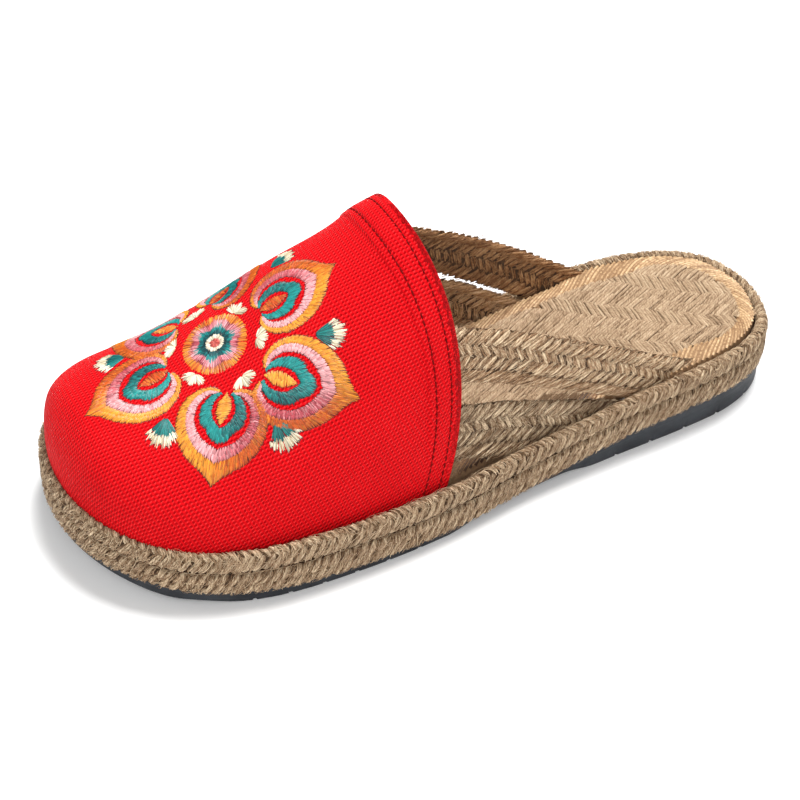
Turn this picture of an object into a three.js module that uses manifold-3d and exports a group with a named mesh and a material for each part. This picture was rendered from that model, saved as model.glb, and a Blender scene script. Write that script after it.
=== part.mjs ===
import * as THREE from 'three';
import { mergeVertices } from 'three/addons/utils/BufferGeometryUtils.js';
import Module from 'manifold-3d';

const wasm = await Module();
wasm.setup();

// Driving sizes in millimetres. The toe points to -Y, the outer side of the foot to +X.
const SHOE_LENGTH = 258;
const BALL_WIDTH = 96;
const HEEL_LIFT = 13.2;
const MIDSOLE_HEIGHT = 6.3;
const RING_HEIGHT = 6.9;
const RING_WIDTH = 5.1;
const INSTEP_RISE = 74.5;
const VAMP_LENGTH = 114;
const CANVAS_THICKNESS = 1.8;
const HEM_WIDTH = 11;
const HEM_STEP = 0.45;
const STRAP_THICKNESS = 2.2;
const BRAID_RELIEF = 0.35;
const GAP = 0.3;

// Outline of the jute side in plan: widths as shares of the ball width
const OUTLINE = [
  { along: 0.02, lateral: 0.196, medial: 0.196 },
  { along: 0.05, lateral: 0.280, medial: 0.279 },
  { along: 0.10, lateral: 0.338, medial: 0.345 },
  { along: 0.18, lateral: 0.367, medial: 0.384 },
  { along: 0.30, lateral: 0.385, medial: 0.384 },
  { along: 0.42, lateral: 0.414, medial: 0.376 },
  { along: 0.55, lateral: 0.471, medial: 0.430 },
  { along: 0.68, lateral: 0.492, medial: 0.505 },
  { along: 0.80, lateral: 0.472, medial: 0.548 },
  { along: 0.90, lateral: 0.378, medial: 0.548 },
  { along: 0.96, lateral: 0.231, medial: 0.452 },
  { along: 0.99, lateral: 0.072, medial: 0.292 },
];
const HEEL_TIP_SIDE = 0;
const TOE_TIP_SIDE = -0.105;

// Underside of the jute above the floor, as shares of the heel lift
const LIFT = [
  { along: 0.00, lift: 1.00 },
  { along: 0.25, lift: 0.84 },
  { along: 0.45, lift: 0.43 },
  { along: 0.70, lift: 0.42 },
  { along: 0.85, lift: 0.55 },
  { along: 1.00, lift: 0.96 },
];

// Underside of the rubber above the floor, as shares of the heel lift
const GROUND = [
  { along: 0.00, ground: 0.04 },
  { along: 0.05, ground: 0.00 },
  { along: 0.32, ground: 0.00 },
  { along: 0.38, ground: 0.18 },
  { along: 0.50, ground: 0.20 },
  { along: 0.56, ground: 0.00 },
  { along: 0.82, ground: 0.00 },
  { along: 0.90, ground: 0.17 },
  { along: 1.00, ground: 0.58 },
];

// Crown of the vamp over its base, as shares of the instep rise
const CROWN = [
  { share: 0.00, rise: 0.25 },
  { share: 0.08, rise: 0.325 },
  { share: 0.25, rise: 0.427 },
  { share: 0.50, rise: 0.602 },
  { share: 0.75, rise: 0.818 },
  { share: 0.92, rise: 0.946 },
  { share: 1.00, rise: 1.026 },
  { share: 1.50, rise: 1.18 },
];
const NOSE_SHARE = 0.08;
const SIDE_FULLNESS = 2.31;
const CROWN_FULLNESS = 2.34;
const CROWN_LEAN = 4.6;
const CROWN_LEAN_GROWTH = 4.8;
const EDGE_TOP_SWEEP = 5.4;
const EDGE_SIDE_SWEEP = 5.8;
const FULL_LEAN_RISE = 11;
const WALL_CLIMB_LIMIT = 0.98;

// Where the pieces of the rim stand, measured inwards from the outline
const VAMP_INSET = RING_WIDTH + GAP;
const BASE_DROP = 2;
const RING_FOOT = MIDSOLE_HEIGHT + GAP;
const RING_TOP = RING_FOOT + RING_HEIGHT;
const STRAP_SLOT = STRAP_THICKNESS + 2 * BRAID_RELIEF + 2 * GAP;
const SLOT_END = 88;
const SLOT_CLOSED = 106;
const SOLE_INSET = 1.2;

// Binding and insole
const BINDING_WIDTH = 8.5;
const BINDING_THICKNESS = 1.2;
const INSOLE_DISH = 1.2;

// Braids
const SIDE_PITCH = 8.4;
const STRAP_PITCH = 7;
const CHEVRON_SLOPE = 0.55;

// Each strap's middle line on the foot's side: along as a share of the shoe's length from
// the heel, height over the midsole as a share of the instep rise, width of the ball width
const STRAPS = [
  { name: 'strap_lateral_upper', side: 1, width: 0.167 },
  { name: 'strap_lateral_lower', side: 1, width: 0.188 },
  { name: 'strap_medial_upper', side: -1, width: 0.160 },
  { name: 'strap_medial_lower', side: -1, width: 0.181 },
];
const STRAP_PATHS = {
  strap_lateral_upper: [
    { along: 0.578, height: 0.730 },
    { along: 0.519, height: 0.645 },
    { along: 0.422, height: 0.500 },
    { along: 0.326, height: 0.293 },
    { along: 0.229, height: 0.087 },
    { along: 0.159, height: -0.048 },
  ],
  strap_lateral_lower: [
    { along: 0.578, height: 0.388 },
    { along: 0.531, height: 0.334 },
    { along: 0.457, height: 0.232 },
    { along: 0.384, height: 0.110 },
    { along: 0.318, height: -0.019 },
    { along: 0.283, height: -0.088 },
  ],
  strap_medial_upper: [
    { along: 0.578, height: 0.804 },
    { along: 0.519, height: 0.723 },
    { along: 0.461, height: 0.615 },
    { along: 0.403, height: 0.489 },
    { along: 0.322, height: 0.282 },
    { along: 0.256, height: 0.101 },
    { along: 0.178, height: -0.096 },
  ],
  strap_medial_lower: [
    { along: 0.578, height: 0.470 },
    { along: 0.523, height: 0.403 },
    { along: 0.422, height: 0.238 },
    { along: 0.345, height: 0.050 },
    { along: 0.287, height: -0.095 },
  ],
};
const STRAP_TUCK = 2.8;
const STRAP_FREE_FROM = 2;
const STRAP_FREE_TO = 30;
const STRAP_LEAVES_SLOT = 1;
const STRAP_FULLY_TUCKED = 8;

// Half thickness over a strap's width, as shares, with the raised chevron strips
const STRAP_PROFILE = [
  { across: -1.00, thick: 0.45, raised: 0.0 },
  { across: -0.80, thick: 0.95, raised: 0.6 },
  { across: -0.40, thick: 1.00, raised: 1.0 },
  { across: 0.00, thick: 0.85, raised: 0.0 },
  { across: 0.40, thick: 1.00, raised: 1.0 },
  { across: 0.80, thick: 0.95, raised: 0.6 },
  { across: 1.00, thick: 0.45, raised: 0.0 },
];

// Section of the upper side row: it rolls over the top edge
const RING_PROFILE = [
  { inset: 1.00, height: 0.00, lag: 0.0, raised: 0.0 },
  { inset: 0.12, height: 0.00, lag: 1.0, raised: 0.0 },
  { inset: 0.02, height: 0.22, lag: 0.6, raised: 1.0 },
  { inset: 0.02, height: 0.50, lag: 0.0, raised: 0.2 },
  { inset: 0.18, height: 0.84, lag: 0.5, raised: 1.0 },
  { inset: 0.60, height: 1.00, lag: 1.0, raised: 0.6 },
  { inset: 1.00, height: 0.93, lag: 1.3, raised: 0.0 },
];

// Section of the midsole's side, with the slanted strands of the lower row
const MIDSOLE_PROFILE = [
  { inset: 1.2, height: 0.00, lag: 0.0, raised: 0.0 },
  { inset: 0.4, height: 0.16, lag: 0.3, raised: 1.0 },
  { inset: 0.2, height: 0.55, lag: 0.8, raised: 1.0 },
  { inset: 0.9, height: 1.00, lag: 1.4, raised: 0.0 },
];

// Section of the rubber sole's side: a rib along the top, then the tread edge
const RUBBER_PROFILE = [
  { inset: 0.9, height: 0.00 },
  { inset: 0.5, height: 0.10 },
  { inset: 0.5, height: 0.55 },
  { inset: 0.0, height: 0.63 },
  { inset: 0.0, height: 1.00 },
];
const RUBBER_STATIONS = 96;
const NOTCH = { width: 3.4, depth: 9, height: 2.2 };
const NOTCH_RUNS = [
  { from: 0.07, to: 0.29, count: 5 },
  { from: 0.60, to: 0.82, count: 6 },
];

// Reads one column of a table as a smooth curve
function smoothTable(rows, input, output) {
  const places = rows.map((row) => row[input]);
  const values = rows.map((row) => row[output]);
  const curve = new THREE.CubicInterpolant(places, values, 1);
  const last = places[places.length - 1];
  return (place) => curve.evaluate(THREE.MathUtils.clamp(place, places[0], last))[0];
}

// Reads one column of a table with flat rests at its rows, so that equal rows stay level
function levelTable(rows, input, output) {
  return (place) => {
    const next = rows.findIndex((row) => row[input] >= place);
    const upper = rows[next < 0 ? rows.length - 1 : Math.max(next, 1)];
    const lower = rows[rows.indexOf(upper) - 1];
    const blend = THREE.MathUtils.smoothstep(place, lower[input], upper[input]);
    return THREE.MathUtils.lerp(lower[output], upper[output], blend);
  };
}

const liftShare = smoothTable(LIFT, 'along', 'lift');
const groundShare = levelTable(GROUND, 'along', 'ground');
const crownShare = smoothTable(CROWN, 'share', 'rise');

function alongAt(y) {
  return 0.5 - y / SHOE_LENGTH;
}

function liftAt(y) {
  return HEEL_LIFT * liftShare(alongAt(y));
}

function groundAt(y) {
  return HEEL_LIFT * groundShare(alongAt(y));
}

function planPoint(along, sideShare) {
  return new THREE.Vector3(BALL_WIDTH * sideShare, SHOE_LENGTH * (0.5 - along), 0);
}

// The closed outline runs from the heel along the outer side to the toe and back
function makeOutline() {
  const lateral = OUTLINE.map((row) => planPoint(row.along, row.lateral));
  const medial = OUTLINE.map((row) => planPoint(row.along, -row.medial)).reverse();
  const points = [planPoint(0, HEEL_TIP_SIDE), ...lateral, planPoint(1, TOE_TIP_SIDE), ...medial];
  return new THREE.CatmullRomCurve3(points, true, 'centripetal');
}

const outline = makeOutline();
const outlineLength = outline.getLength();

function rimPoint(turn, inset) {
  const wrapped = THREE.MathUtils.euclideanModulo(turn, 1);
  const point = outline.getPointAt(wrapped);
  const tangent = outline.getTangentAt(wrapped);
  return new THREE.Vector3(point.x + tangent.y * inset, point.y - tangent.x * inset, 0);
}

const OUTLINE_SAMPLES = 480;
const SMALLEST_STEP = 1e-9;

// Gives the x of an inset outline on either side for any y
function sideReader(inset) {
  const turns = Array.from({ length: OUTLINE_SAMPLES }, (_, index) => index / OUTLINE_SAMPLES);
  const samples = turns.map((turn) => rimPoint(turn, inset));
  const toe = samples.reduce((best, point) => (point.y < best.y ? point : best));
  const heel = samples.reduce((best, point) => (point.y > best.y ? point : best));
  const split = samples.indexOf(toe);
  const start = samples.indexOf(heel);
  const turned = samples.slice(start).concat(samples.slice(0, start));
  const toeIndex = THREE.MathUtils.euclideanModulo(split - start, samples.length);
  const lateral = turned.slice(0, toeIndex + 1);
  const medial = [...turned.slice(toeIndex), turned[0]].reverse();
  const xAt = (y, side) => {
    const line = side > 0 ? lateral : medial;
    const found = line.findIndex((point) => point.y <= y);
    const after = found < 0 ? line.length - 1 : Math.max(found, 1);
    const [a, b] = [line[after - 1], line[after]];
    const share = THREE.MathUtils.clamp((a.y - y) / Math.max(a.y - b.y, SMALLEST_STEP), 0, 1);
    return THREE.MathUtils.lerp(a.x, b.x, share);
  };
  return { xAt, noseY: toe.y, noseX: toe.x };
}

const sideReaders = new Map();

function sides(inset) {
  const key = inset.toFixed(2);
  if (!sideReaders.has(key)) {
    sideReaders.set(key, sideReader(Number(key)));
  }
  return sideReaders.get(key);
}

const EDGE_BASE_Y = VAMP_LENGTH - SHOE_LENGTH / 2;

// Cross-section of the last at y, drawn inwards from the outline by the inset
function lastSection(y, inset) {
  const reader = sides(inset);
  const share = (y - reader.noseY) / (EDGE_BASE_Y - reader.noseY);
  const toNose = THREE.MathUtils.clamp(share / NOSE_SHARE, 0, 1);
  const noseRound = Math.sqrt(1 - (1 - toNose) ** 2);
  const lateralX = y <= reader.noseY ? reader.noseX : reader.xAt(y, 1);
  const medialX = y <= reader.noseY ? reader.noseX : reader.xAt(y, -1);
  return {
    middle: (lateralX + medialX) / 2,
    half: (lateralX - medialX) / 2,
    base: liftAt(y) + RING_TOP - BASE_DROP,
    rise: noseRound * (INSTEP_RISE * crownShare(share) - (inset - VAMP_INSET)),
    lean: -(CROWN_LEAN + CROWN_LEAN_GROWTH * THREE.MathUtils.clamp(share, 0, 1)),
  };
}

function climbAt(angle) {
  return Math.abs(Math.sin(angle)) ** (2 / CROWN_FULLNESS);
}

function lastPoint(y, angle, inset) {
  const section = lastSection(y, inset);
  const cosine = Math.cos(angle);
  const reach = Math.sign(cosine) * Math.abs(cosine) ** (2 / SIDE_FULLNESS);
  const climb = climbAt(angle);
  const lean = section.lean * Math.min(1, section.rise / FULL_LEAN_RISE);
  const x = section.middle + section.half * reach + lean * climb;
  return new THREE.Vector3(x, y, section.base + section.rise * climb);
}

// Point of the foot's side wall at a height, for a strap that lies on it
function wallPoint(y, z, inset, side) {
  const section = lastSection(y, inset);
  const climb = THREE.MathUtils.clamp((z - section.base) / section.rise, 0, WALL_CLIMB_LIMIT);
  const reach = (1 - climb ** CROWN_FULLNESS) ** (1 / SIDE_FULLNESS);
  const x = section.middle + side * section.half * reach + section.lean * climb;
  return new THREE.Vector3(x, y, z);
}

const WELD_DISTANCE = 1e-3;

// Turns points and triangles into one closed body facing out
function solidGeometry(points, triangles) {
  const loose = new THREE.BufferGeometry();
  const coordinates = points.flatMap((point) => point.toArray());
  loose.setAttribute('position', new THREE.Float32BufferAttribute(coordinates, 3));
  loose.setIndex(triangles.flat());
  const welded = mergeVertices(loose, WELD_DISTANCE);
  const index = welded.getIndex().array;
  const kept = [];
  for (let start = 0; start < index.length; start += 3) {
    const [a, b, c] = [index[start], index[start + 1], index[start + 2]];
    if (a !== b && b !== c && c !== a) {
      kept.push([a, b, c]);
    }
  }
  const facesOut = signedVolume(welded.getAttribute('position'), kept) > 0;
  welded.setIndex(kept.flatMap(([a, b, c]) => (facesOut ? [a, b, c] : [a, c, b])));
  return welded;
}

function signedVolume(position, triangles) {
  const [a, b, c] = [new THREE.Vector3(), new THREE.Vector3(), new THREE.Vector3()];
  let volume = 0;
  for (const [first, second, third] of triangles) {
    a.fromBufferAttribute(position, first);
    b.fromBufferAttribute(position, second);
    c.fromBufferAttribute(position, third);
    volume += a.dot(b.cross(c)) / 6;
  }
  return volume;
}

// Joins closed loops of equal length into a skin: a ring, or a slab with both ends capped
function loopSolid(loops, isRing) {
  const count = loops[0].length;
  const triangles = [];
  const pairs = isRing ? loops.length : loops.length - 1;
  for (let level = 0; level < pairs; level += 1) {
    const upper = (level + 1) % loops.length;
    for (let index = 0; index < count; index += 1) {
      const next = (index + 1) % count;
      const [a, b] = [level * count + index, level * count + next];
      const [c, d] = [upper * count + next, upper * count + index];
      triangles.push([a, b, c], [a, c, d]);
    }
  }
  if (!isRing) {
    triangles.push(...capStrip(0, count, false));
    triangles.push(...capStrip((loops.length - 1) * count, count, true));
  }
  return solidGeometry(loops.flat(), triangles);
}

// Closes a loop with strips from its outer to its inner side
function capStrip(first, count, isTop) {
  const triangles = [];
  for (let index = 0; index < count / 2; index += 1) {
    const a = first + index;
    const b = first + index + 1;
    const c = first + ((count - index - 1) % count);
    const d = first + ((count - index) % count);
    const faces = [[a, b, c], [a, c, d]];
    triangles.push(...faces.map(([p, q, r]) => (isTop ? [p, q, r] : [p, r, q])));
  }
  return triangles.filter(([p, q, r]) => p !== q && q !== r && r !== p);
}

function toManifold(geometry) {
  const positions = geometry.clone();
  positions.deleteAttribute('normal');
  positions.deleteAttribute('uv');
  const bare = mergeVertices(positions, WELD_DISTANCE);
  return new wasm.Manifold(new wasm.Mesh({
    numProp: 3,
    vertProperties: new Float32Array(bare.getAttribute('position').array),
    triVerts: new Uint32Array(bare.getIndex().array),
  }));
}

function fromManifold(solid) {
  const mesh = solid.getMesh();
  const geometry = new THREE.BufferGeometry();
  geometry.setAttribute('position', new THREE.Float32BufferAttribute([...mesh.vertProperties], 3));
  geometry.setIndex([...mesh.triVerts]);
  return geometry;
}

// One loop of a side row: every second station stands out as a strand
function strandLoop(row, inset, height) {
  const stations = 2 * Math.round(outlineLength / SIDE_PITCH);
  return Array.from({ length: stations }, (_, index) => {
    const turn = index / stations + (row.lag * CHEVRON_SLOPE * SIDE_PITCH) / outlineLength;
    const ridge = index % 2 === 0 ? BRAID_RELIEF * row.raised : 0;
    const point = rimPoint(turn, inset - ridge);
    point.z = liftAt(point.y) + height + (ridge * row.height) / 2;
    return point;
  });
}

function makeMidsole() {
  const loops = MIDSOLE_PROFILE.map((row) => strandLoop(row, row.inset, row.height * MIDSOLE_HEIGHT));
  return loopSolid(loops, false);
}

function makeSideBraid() {
  const loops = RING_PROFILE.map((row) => strandLoop(
    row, row.inset * RING_WIDTH, RING_FOOT + row.height * RING_HEIGHT));
  return loopSolid(loops, true);
}

function makeOutsole() {
  const loops = RUBBER_PROFILE.map((row) => Array.from({ length: RUBBER_STATIONS }, (_, index) => {
    const point = rimPoint(index / RUBBER_STATIONS, SOLE_INSET + row.inset);
    point.z = THREE.MathUtils.lerp(groundAt(point.y), liftAt(point.y) - GAP, row.height);
    return point;
  }));
  let sole = toManifold(loopSolid(loops, false));
  for (const cutter of notchCutters()) {
    sole = sole.subtract(toManifold(cutter));
  }
  return fromManifold(sole);
}

// Small steps cut into the tread edge on both sides of heel and forefoot
function notchCutters() {
  const cutters = [];
  const reader = sides(SOLE_INSET);
  for (const run of NOTCH_RUNS) {
    for (let index = 0; index < run.count; index += 1) {
      const along = THREE.MathUtils.lerp(run.from, run.to, index / (run.count - 1));
      const y = SHOE_LENGTH * (0.5 - along);
      for (const side of [1, -1]) {
        const slope = reader.xAt(y + 1, side) - reader.xAt(y - 1, side);
        const cutter = new THREE.BoxGeometry(NOTCH.depth, NOTCH.width, 2 * NOTCH.height);
        cutter.rotateZ(-Math.atan(slope / 2));
        cutter.translate(reader.xAt(y, side), y, 0);
        cutters.push(cutter);
      }
    }
  }
  return cutters;
}

// Width of the slot between side row and insole, which takes vamp and straps
function slotAt(y) {
  return THREE.MathUtils.lerp(STRAP_SLOT, GAP, THREE.MathUtils.smoothstep(y, SLOT_END, SLOT_CLOSED));
}

function insoleLoop(stations, inset, height) {
  return Array.from({ length: stations }, (_, index) => {
    const turn = index / stations;
    const slot = slotAt(rimPoint(turn, RING_WIDTH).y);
    const point = rimPoint(turn, RING_WIDTH + slot + inset);
    point.z = liftAt(point.y) + height;
    return point;
  });
}

const INSOLE_STATIONS = 80;
const BINDING_TOP = RING_TOP - 0.1;

function makeBinding() {
  const under = BINDING_TOP - BINDING_THICKNESS;
  const loops = [
    insoleLoop(INSOLE_STATIONS, BINDING_THICKNESS, RING_FOOT),
    insoleLoop(INSOLE_STATIONS, 0, RING_FOOT),
    insoleLoop(INSOLE_STATIONS, 0, under),
    insoleLoop(INSOLE_STATIONS, BINDING_THICKNESS, BINDING_TOP),
    insoleLoop(INSOLE_STATIONS, BINDING_WIDTH - BINDING_THICKNESS, BINDING_TOP),
    insoleLoop(INSOLE_STATIONS, BINDING_WIDTH, under),
    insoleLoop(INSOLE_STATIONS, BINDING_THICKNESS, under),
  ];
  return loopSolid(loops, true);
}

function makeInsole() {
  const under = BINDING_TOP - BINDING_THICKNESS - GAP;
  const surface = BINDING_TOP - GAP;
  const loops = [
    insoleLoop(INSOLE_STATIONS, BINDING_THICKNESS + GAP, RING_FOOT),
    insoleLoop(INSOLE_STATIONS, BINDING_THICKNESS + GAP, under),
    insoleLoop(INSOLE_STATIONS, BINDING_WIDTH + GAP, under),
    insoleLoop(INSOLE_STATIONS, BINDING_WIDTH + GAP, surface),
    insoleLoop(INSOLE_STATIONS, BINDING_WIDTH * 2, surface - INSOLE_DISH),
  ];
  return loopSolid(loops, false);
}

// Where the vamp's rear edge lies for an angle of the section
function edgeY(angle) {
  const climb = climbAt(angle);
  return EDGE_BASE_Y + EDGE_TOP_SWEEP * climb + EDGE_SIDE_SWEEP * 4 * climb * (1 - climb);
}

const VAMP_LENGTH_STATIONS = 15;
const VAMP_ANGLE_STATIONS = 24;

// Stations from the nose to the hem, closer at the nose, then the hem's own step
function vampStations() {
  const body = Array.from({ length: VAMP_LENGTH_STATIONS }, (_, index) => ({
    share: 1 - Math.cos((index / (VAMP_LENGTH_STATIONS - 1)) * (Math.PI / 2)),
    back: HEM_WIDTH,
    step: 0,
  }));
  return [
    ...body,
    { share: 1, back: HEM_WIDTH - HEM_STEP, step: 1 },
    { share: 1, back: HEM_WIDTH / 2, step: 1 },
    { share: 1, back: 0, step: 1 },
  ];
}

// One skin of the vamp: each column runs from the sole up over the crown and down again
function vampSkin(inset, stepDirection) {
  const nose = sides(inset).noseY;
  return vampStations().map((station) => {
    const column = [];
    for (let index = 0; index <= VAMP_ANGLE_STATIONS; index += 1) {
      const angle = (Math.PI * index) / VAMP_ANGLE_STATIONS;
      const y = THREE.MathUtils.lerp(nose, edgeY(angle) - station.back, station.share);
      const point = lastPoint(y, angle, inset);
      const step = station.step * stepDirection * HEM_STEP * Math.min(1, 3 * climbAt(angle));
      point.x += step * Math.cos(angle);
      point.z += step * Math.sin(angle);
      column.push(point);
    }
    const foot = (top) => new THREE.Vector3(top.x, top.y, liftAt(top.y) + RING_FOOT);
    return [foot(column[0]), ...column, foot(column[column.length - 1])];
  });
}

function makeVamp() {
  const outer = vampSkin(VAMP_INSET, 1);
  const inner = vampSkin(VAMP_INSET + CANVAS_THICKNESS, -1);
  const rows = outer.length;
  const columns = outer[0].length;
  const innerStart = rows * columns;
  const triangles = [];
  const addQuad = (a, b, c, d) => triangles.push([a, b, c], [a, c, d]);
  for (let row = 0; row < rows - 1; row += 1) {
    for (let column = 0; column < columns - 1; column += 1) {
      const a = row * columns + column;
      addQuad(a, a + 1, a + columns + 1, a + columns);
      const b = innerStart + a;
      addQuad(b, b + columns, b + columns + 1, b + 1);
    }
    const left = row * columns;
    addQuad(left, left + columns, innerStart + left + columns, innerStart + left);
    const right = left + columns - 1;
    addQuad(right, innerStart + right, innerStart + right + columns, right + columns);
  }
  const edge = (rows - 1) * columns;
  for (let column = 0; column < columns - 1; column += 1) {
    const a = edge + column;
    addQuad(a, a + 1, innerStart + a + 1, innerStart + a);
  }
  return solidGeometry([...outer.flat(), ...inner.flat()], triangles);
}

// Curve of a strap's middle line in the plane of length and height
function strapLine(strap) {
  const points = STRAP_PATHS[strap.name].map((row) => {
    const y = SHOE_LENGTH * (0.5 - row.along);
    return new THREE.Vector3(0, y, liftAt(y) + RING_FOOT + INSTEP_RISE * row.height);
  });
  return new THREE.CatmullRomCurve3(points, false, 'centripetal');
}

// A strap stands in the slot at its foot and lies inside the vamp at its front
function strapInset(y, z) {
  const seated = RING_WIDTH + STRAP_SLOT / 2;
  const tucked = 1 - THREE.MathUtils.smoothstep(y, STRAP_FREE_FROM, STRAP_FREE_TO);
  const above = z - (liftAt(y) + RING_TOP - BASE_DROP);
  const raised = THREE.MathUtils.smoothstep(above, STRAP_LEAVES_SLOT, STRAP_FULLY_TUCKED);
  return seated + STRAP_TUCK * tucked * raised;
}

function strapPoint(strap, line, distance, offset, lift) {
  const share = THREE.MathUtils.clamp(distance / line.getLength(), 0, 1);
  const middle = line.getPointAt(share);
  const tangent = line.getTangentAt(share);
  const y = middle.y - tangent.z * offset;
  const z = middle.z + tangent.y * offset;
  const inset = strapInset(middle.y, z);
  const point = wallPoint(y, z, inset, strap.side);
  const along = wallPoint(y + 1, z, inset, strap.side).sub(point);
  const above = wallPoint(y, z + 1, inset, strap.side).sub(point);
  const normal = along.cross(above).normalize();
  return point.addScaledVector(normal, lift);
}

function makeStrap(strap) {
  const line = strapLine(strap);
  const width = BALL_WIDTH * strap.width;
  const count = 2 * Math.round(line.getLength() / STRAP_PITCH) + 1;
  const lagEnd = (CHEVRON_SLOPE * width) / 2;
  const sections = Array.from({ length: count }, (_, index) => {
    const start = lagEnd + ((line.getLength() - lagEnd) * index) / (count - 1);
    const section = [];
    for (const face of [1, -1]) {
      const profile = face > 0 ? STRAP_PROFILE : [...STRAP_PROFILE].reverse();
      for (const row of profile) {
        const offset = (row.across * width) / 2;
        const lag = CHEVRON_SLOPE * Math.abs(offset);
        const ridge = index % 2 === 0 ? BRAID_RELIEF * row.raised : 0;
        const lift = face * ((STRAP_THICKNESS / 2) * row.thick + ridge);
        section.push(strapPoint(strap, line, start - lag, offset, lift));
      }
    }
    return section;
  });
  const corners = sections[0].length;
  const triangles = [];
  for (let index = 0; index < count - 1; index += 1) {
    for (let corner = 0; corner < corners; corner += 1) {
      const next = (corner + 1) % corners;
      const [a, b] = [index * corners + corner, index * corners + next];
      triangles.push([a, b, b + corners], [a, b + corners, a + corners]);
    }
  }
  triangles.push(...endCap(0, corners, true), ...endCap((count - 1) * corners, corners, false));
  const whole = toManifold(solidGeometry(sections.flat(), triangles));
  return fromManifold(whole.subtract(toManifold(slotFloor())));
}

// Closes a strap's end between its two faces
function endCap(first, width, reversed) {
  const triangles = [];
  for (let corner = 0; corner < width / 2 - 1; corner += 1) {
    const [a, b] = [first + corner, first + corner + 1];
    const [c, d] = [first + width - 2 - corner, first + width - 1 - corner];
    triangles.push([a, b, c], [a, c, d]);
  }
  return triangles.map(([p, q, r]) => (reversed ? [p, r, q] : [p, q, r]));
}

// Everything below the top of the midsole, which a strap's end is trimmed by
function slotFloor() {
  const levels = [-HEEL_LIFT * 2, RING_FOOT];
  const loops = levels.map((height) => Array.from({ length: RUBBER_STATIONS }, (_, index) => {
    const point = rimPoint(index / RUBBER_STATIONS, 0);
    point.z = liftAt(point.y) + height;
    return point;
  }));
  return loopSolid(loops, false);
}

const rubber = { color: 0x4b4e52, roughness: 0.75, metalness: 0 };
const jute = { color: 0xb89a72, roughness: 0.9, metalness: 0 };
const juteInsole = { color: 0xc9a878, roughness: 0.9, metalness: 0 };
const satin = { color: 0xe0b87a, roughness: 0.45, metalness: 0 };
const canvas = { color: 0xe01b26, roughness: 0.85, metalness: 0 };

const slipper = new THREE.Group();

function addPiece(name, geometry, finish) {
  geometry.computeVertexNormals();
  const mesh = new THREE.Mesh(geometry, new THREE.MeshStandardMaterial(finish));
  mesh.name = name;
  slipper.add(mesh);
}

addPiece('outsole', makeOutsole(), rubber);
addPiece('midsole', makeMidsole(), jute);
addPiece('side_braid', makeSideBraid(), jute);
addPiece('insole', makeInsole(), juteInsole);
addPiece('insole_binding', makeBinding(), satin);
addPiece('vamp', makeVamp(), canvas);
for (const strap of STRAPS) {
  addPiece(strap.name, makeStrap(strap), jute);
}

// The frame's origin lies under the middle of the outline
const outlineBox = new THREE.Box3().setFromPoints(outline.getSpacedPoints(OUTLINE_SAMPLES));
slipper.position.x = -(outlineBox.min.x + outlineBox.max.x) / 2;

const part = new THREE.Group();
part.add(slipper);
part.updateMatrixWorld(true);

export default part;
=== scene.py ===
import math

import bpy
import numpy as np
from mathutils import Matrix, Vector
from mathutils.bvhtree import BVHTree
from mathutils.kdtree import KDTree


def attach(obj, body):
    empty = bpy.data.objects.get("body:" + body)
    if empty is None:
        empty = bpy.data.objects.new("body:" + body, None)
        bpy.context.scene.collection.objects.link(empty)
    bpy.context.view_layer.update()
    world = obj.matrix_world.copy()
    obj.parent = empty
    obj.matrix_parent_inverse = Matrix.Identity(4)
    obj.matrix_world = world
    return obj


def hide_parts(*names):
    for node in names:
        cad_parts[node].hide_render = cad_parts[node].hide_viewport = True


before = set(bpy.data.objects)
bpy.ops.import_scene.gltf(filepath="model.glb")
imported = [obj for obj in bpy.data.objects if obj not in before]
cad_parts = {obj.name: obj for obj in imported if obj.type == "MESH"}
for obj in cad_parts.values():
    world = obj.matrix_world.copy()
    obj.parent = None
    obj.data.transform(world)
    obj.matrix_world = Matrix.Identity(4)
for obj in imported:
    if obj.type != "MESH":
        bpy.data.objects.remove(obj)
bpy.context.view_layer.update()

MM = 0.001


# Rows of a table under the names of its columns
def table(columns, *rows):
    return [dict(zip(columns.split(), row)) for row in rows]


# Camera: the photograph's angle, its distance and its focal length in pixels
PICTURE = 800
AZIMUTH = 61.588
ELEVATION = 41.112
ROLL = 1.627
CAMERA_DISTANCE = 717.394
FOCAL_PIXELS = 2159.129
TARGET = dict(x=-2.454, y=-9.030, z=20.0)
SENSOR = 36.0

# Driving sizes in millimetres, the same as the solids'
SHOE_LENGTH = 258.0
BALL_WIDTH = 96.0
HEEL_LIFT = 13.2
MIDSOLE_HEIGHT = 6.3
RING_HEIGHT = 6.9
RING_WIDTH = 5.1
INSTEP_RISE = 74.5
VAMP_LENGTH = 114.0
CANVAS_THICKNESS = 1.8
HEM_WIDTH = 11.0
HEM_STEP = 0.45
STRAP_THICKNESS = 2.2
BRAID_RELIEF = 0.35
GAP = 0.3

# Outline of the jute side in plan: widths as shares of the ball width
OUTLINE = table(
    "along lateral medial",
    (0.02, 0.196, 0.196),
    (0.05, 0.280, 0.279),
    (0.10, 0.338, 0.345),
    (0.18, 0.367, 0.384),
    (0.30, 0.385, 0.384),
    (0.42, 0.414, 0.376),
    (0.55, 0.471, 0.430),
    (0.68, 0.492, 0.505),
    (0.80, 0.472, 0.548),
    (0.90, 0.378, 0.548),
    (0.96, 0.231, 0.452),
    (0.99, 0.072, 0.292),
)
HEEL_TIP_SIDE = 0.0
TOE_TIP_SIDE = -0.105

# Underside of the jute above the floor, as shares of the heel lift
LIFT = table(
    "along lift",
    (0.00, 1.00),
    (0.25, 0.84),
    (0.45, 0.43),
    (0.70, 0.42),
    (0.85, 0.55),
    (1.00, 0.96),
)

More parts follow.
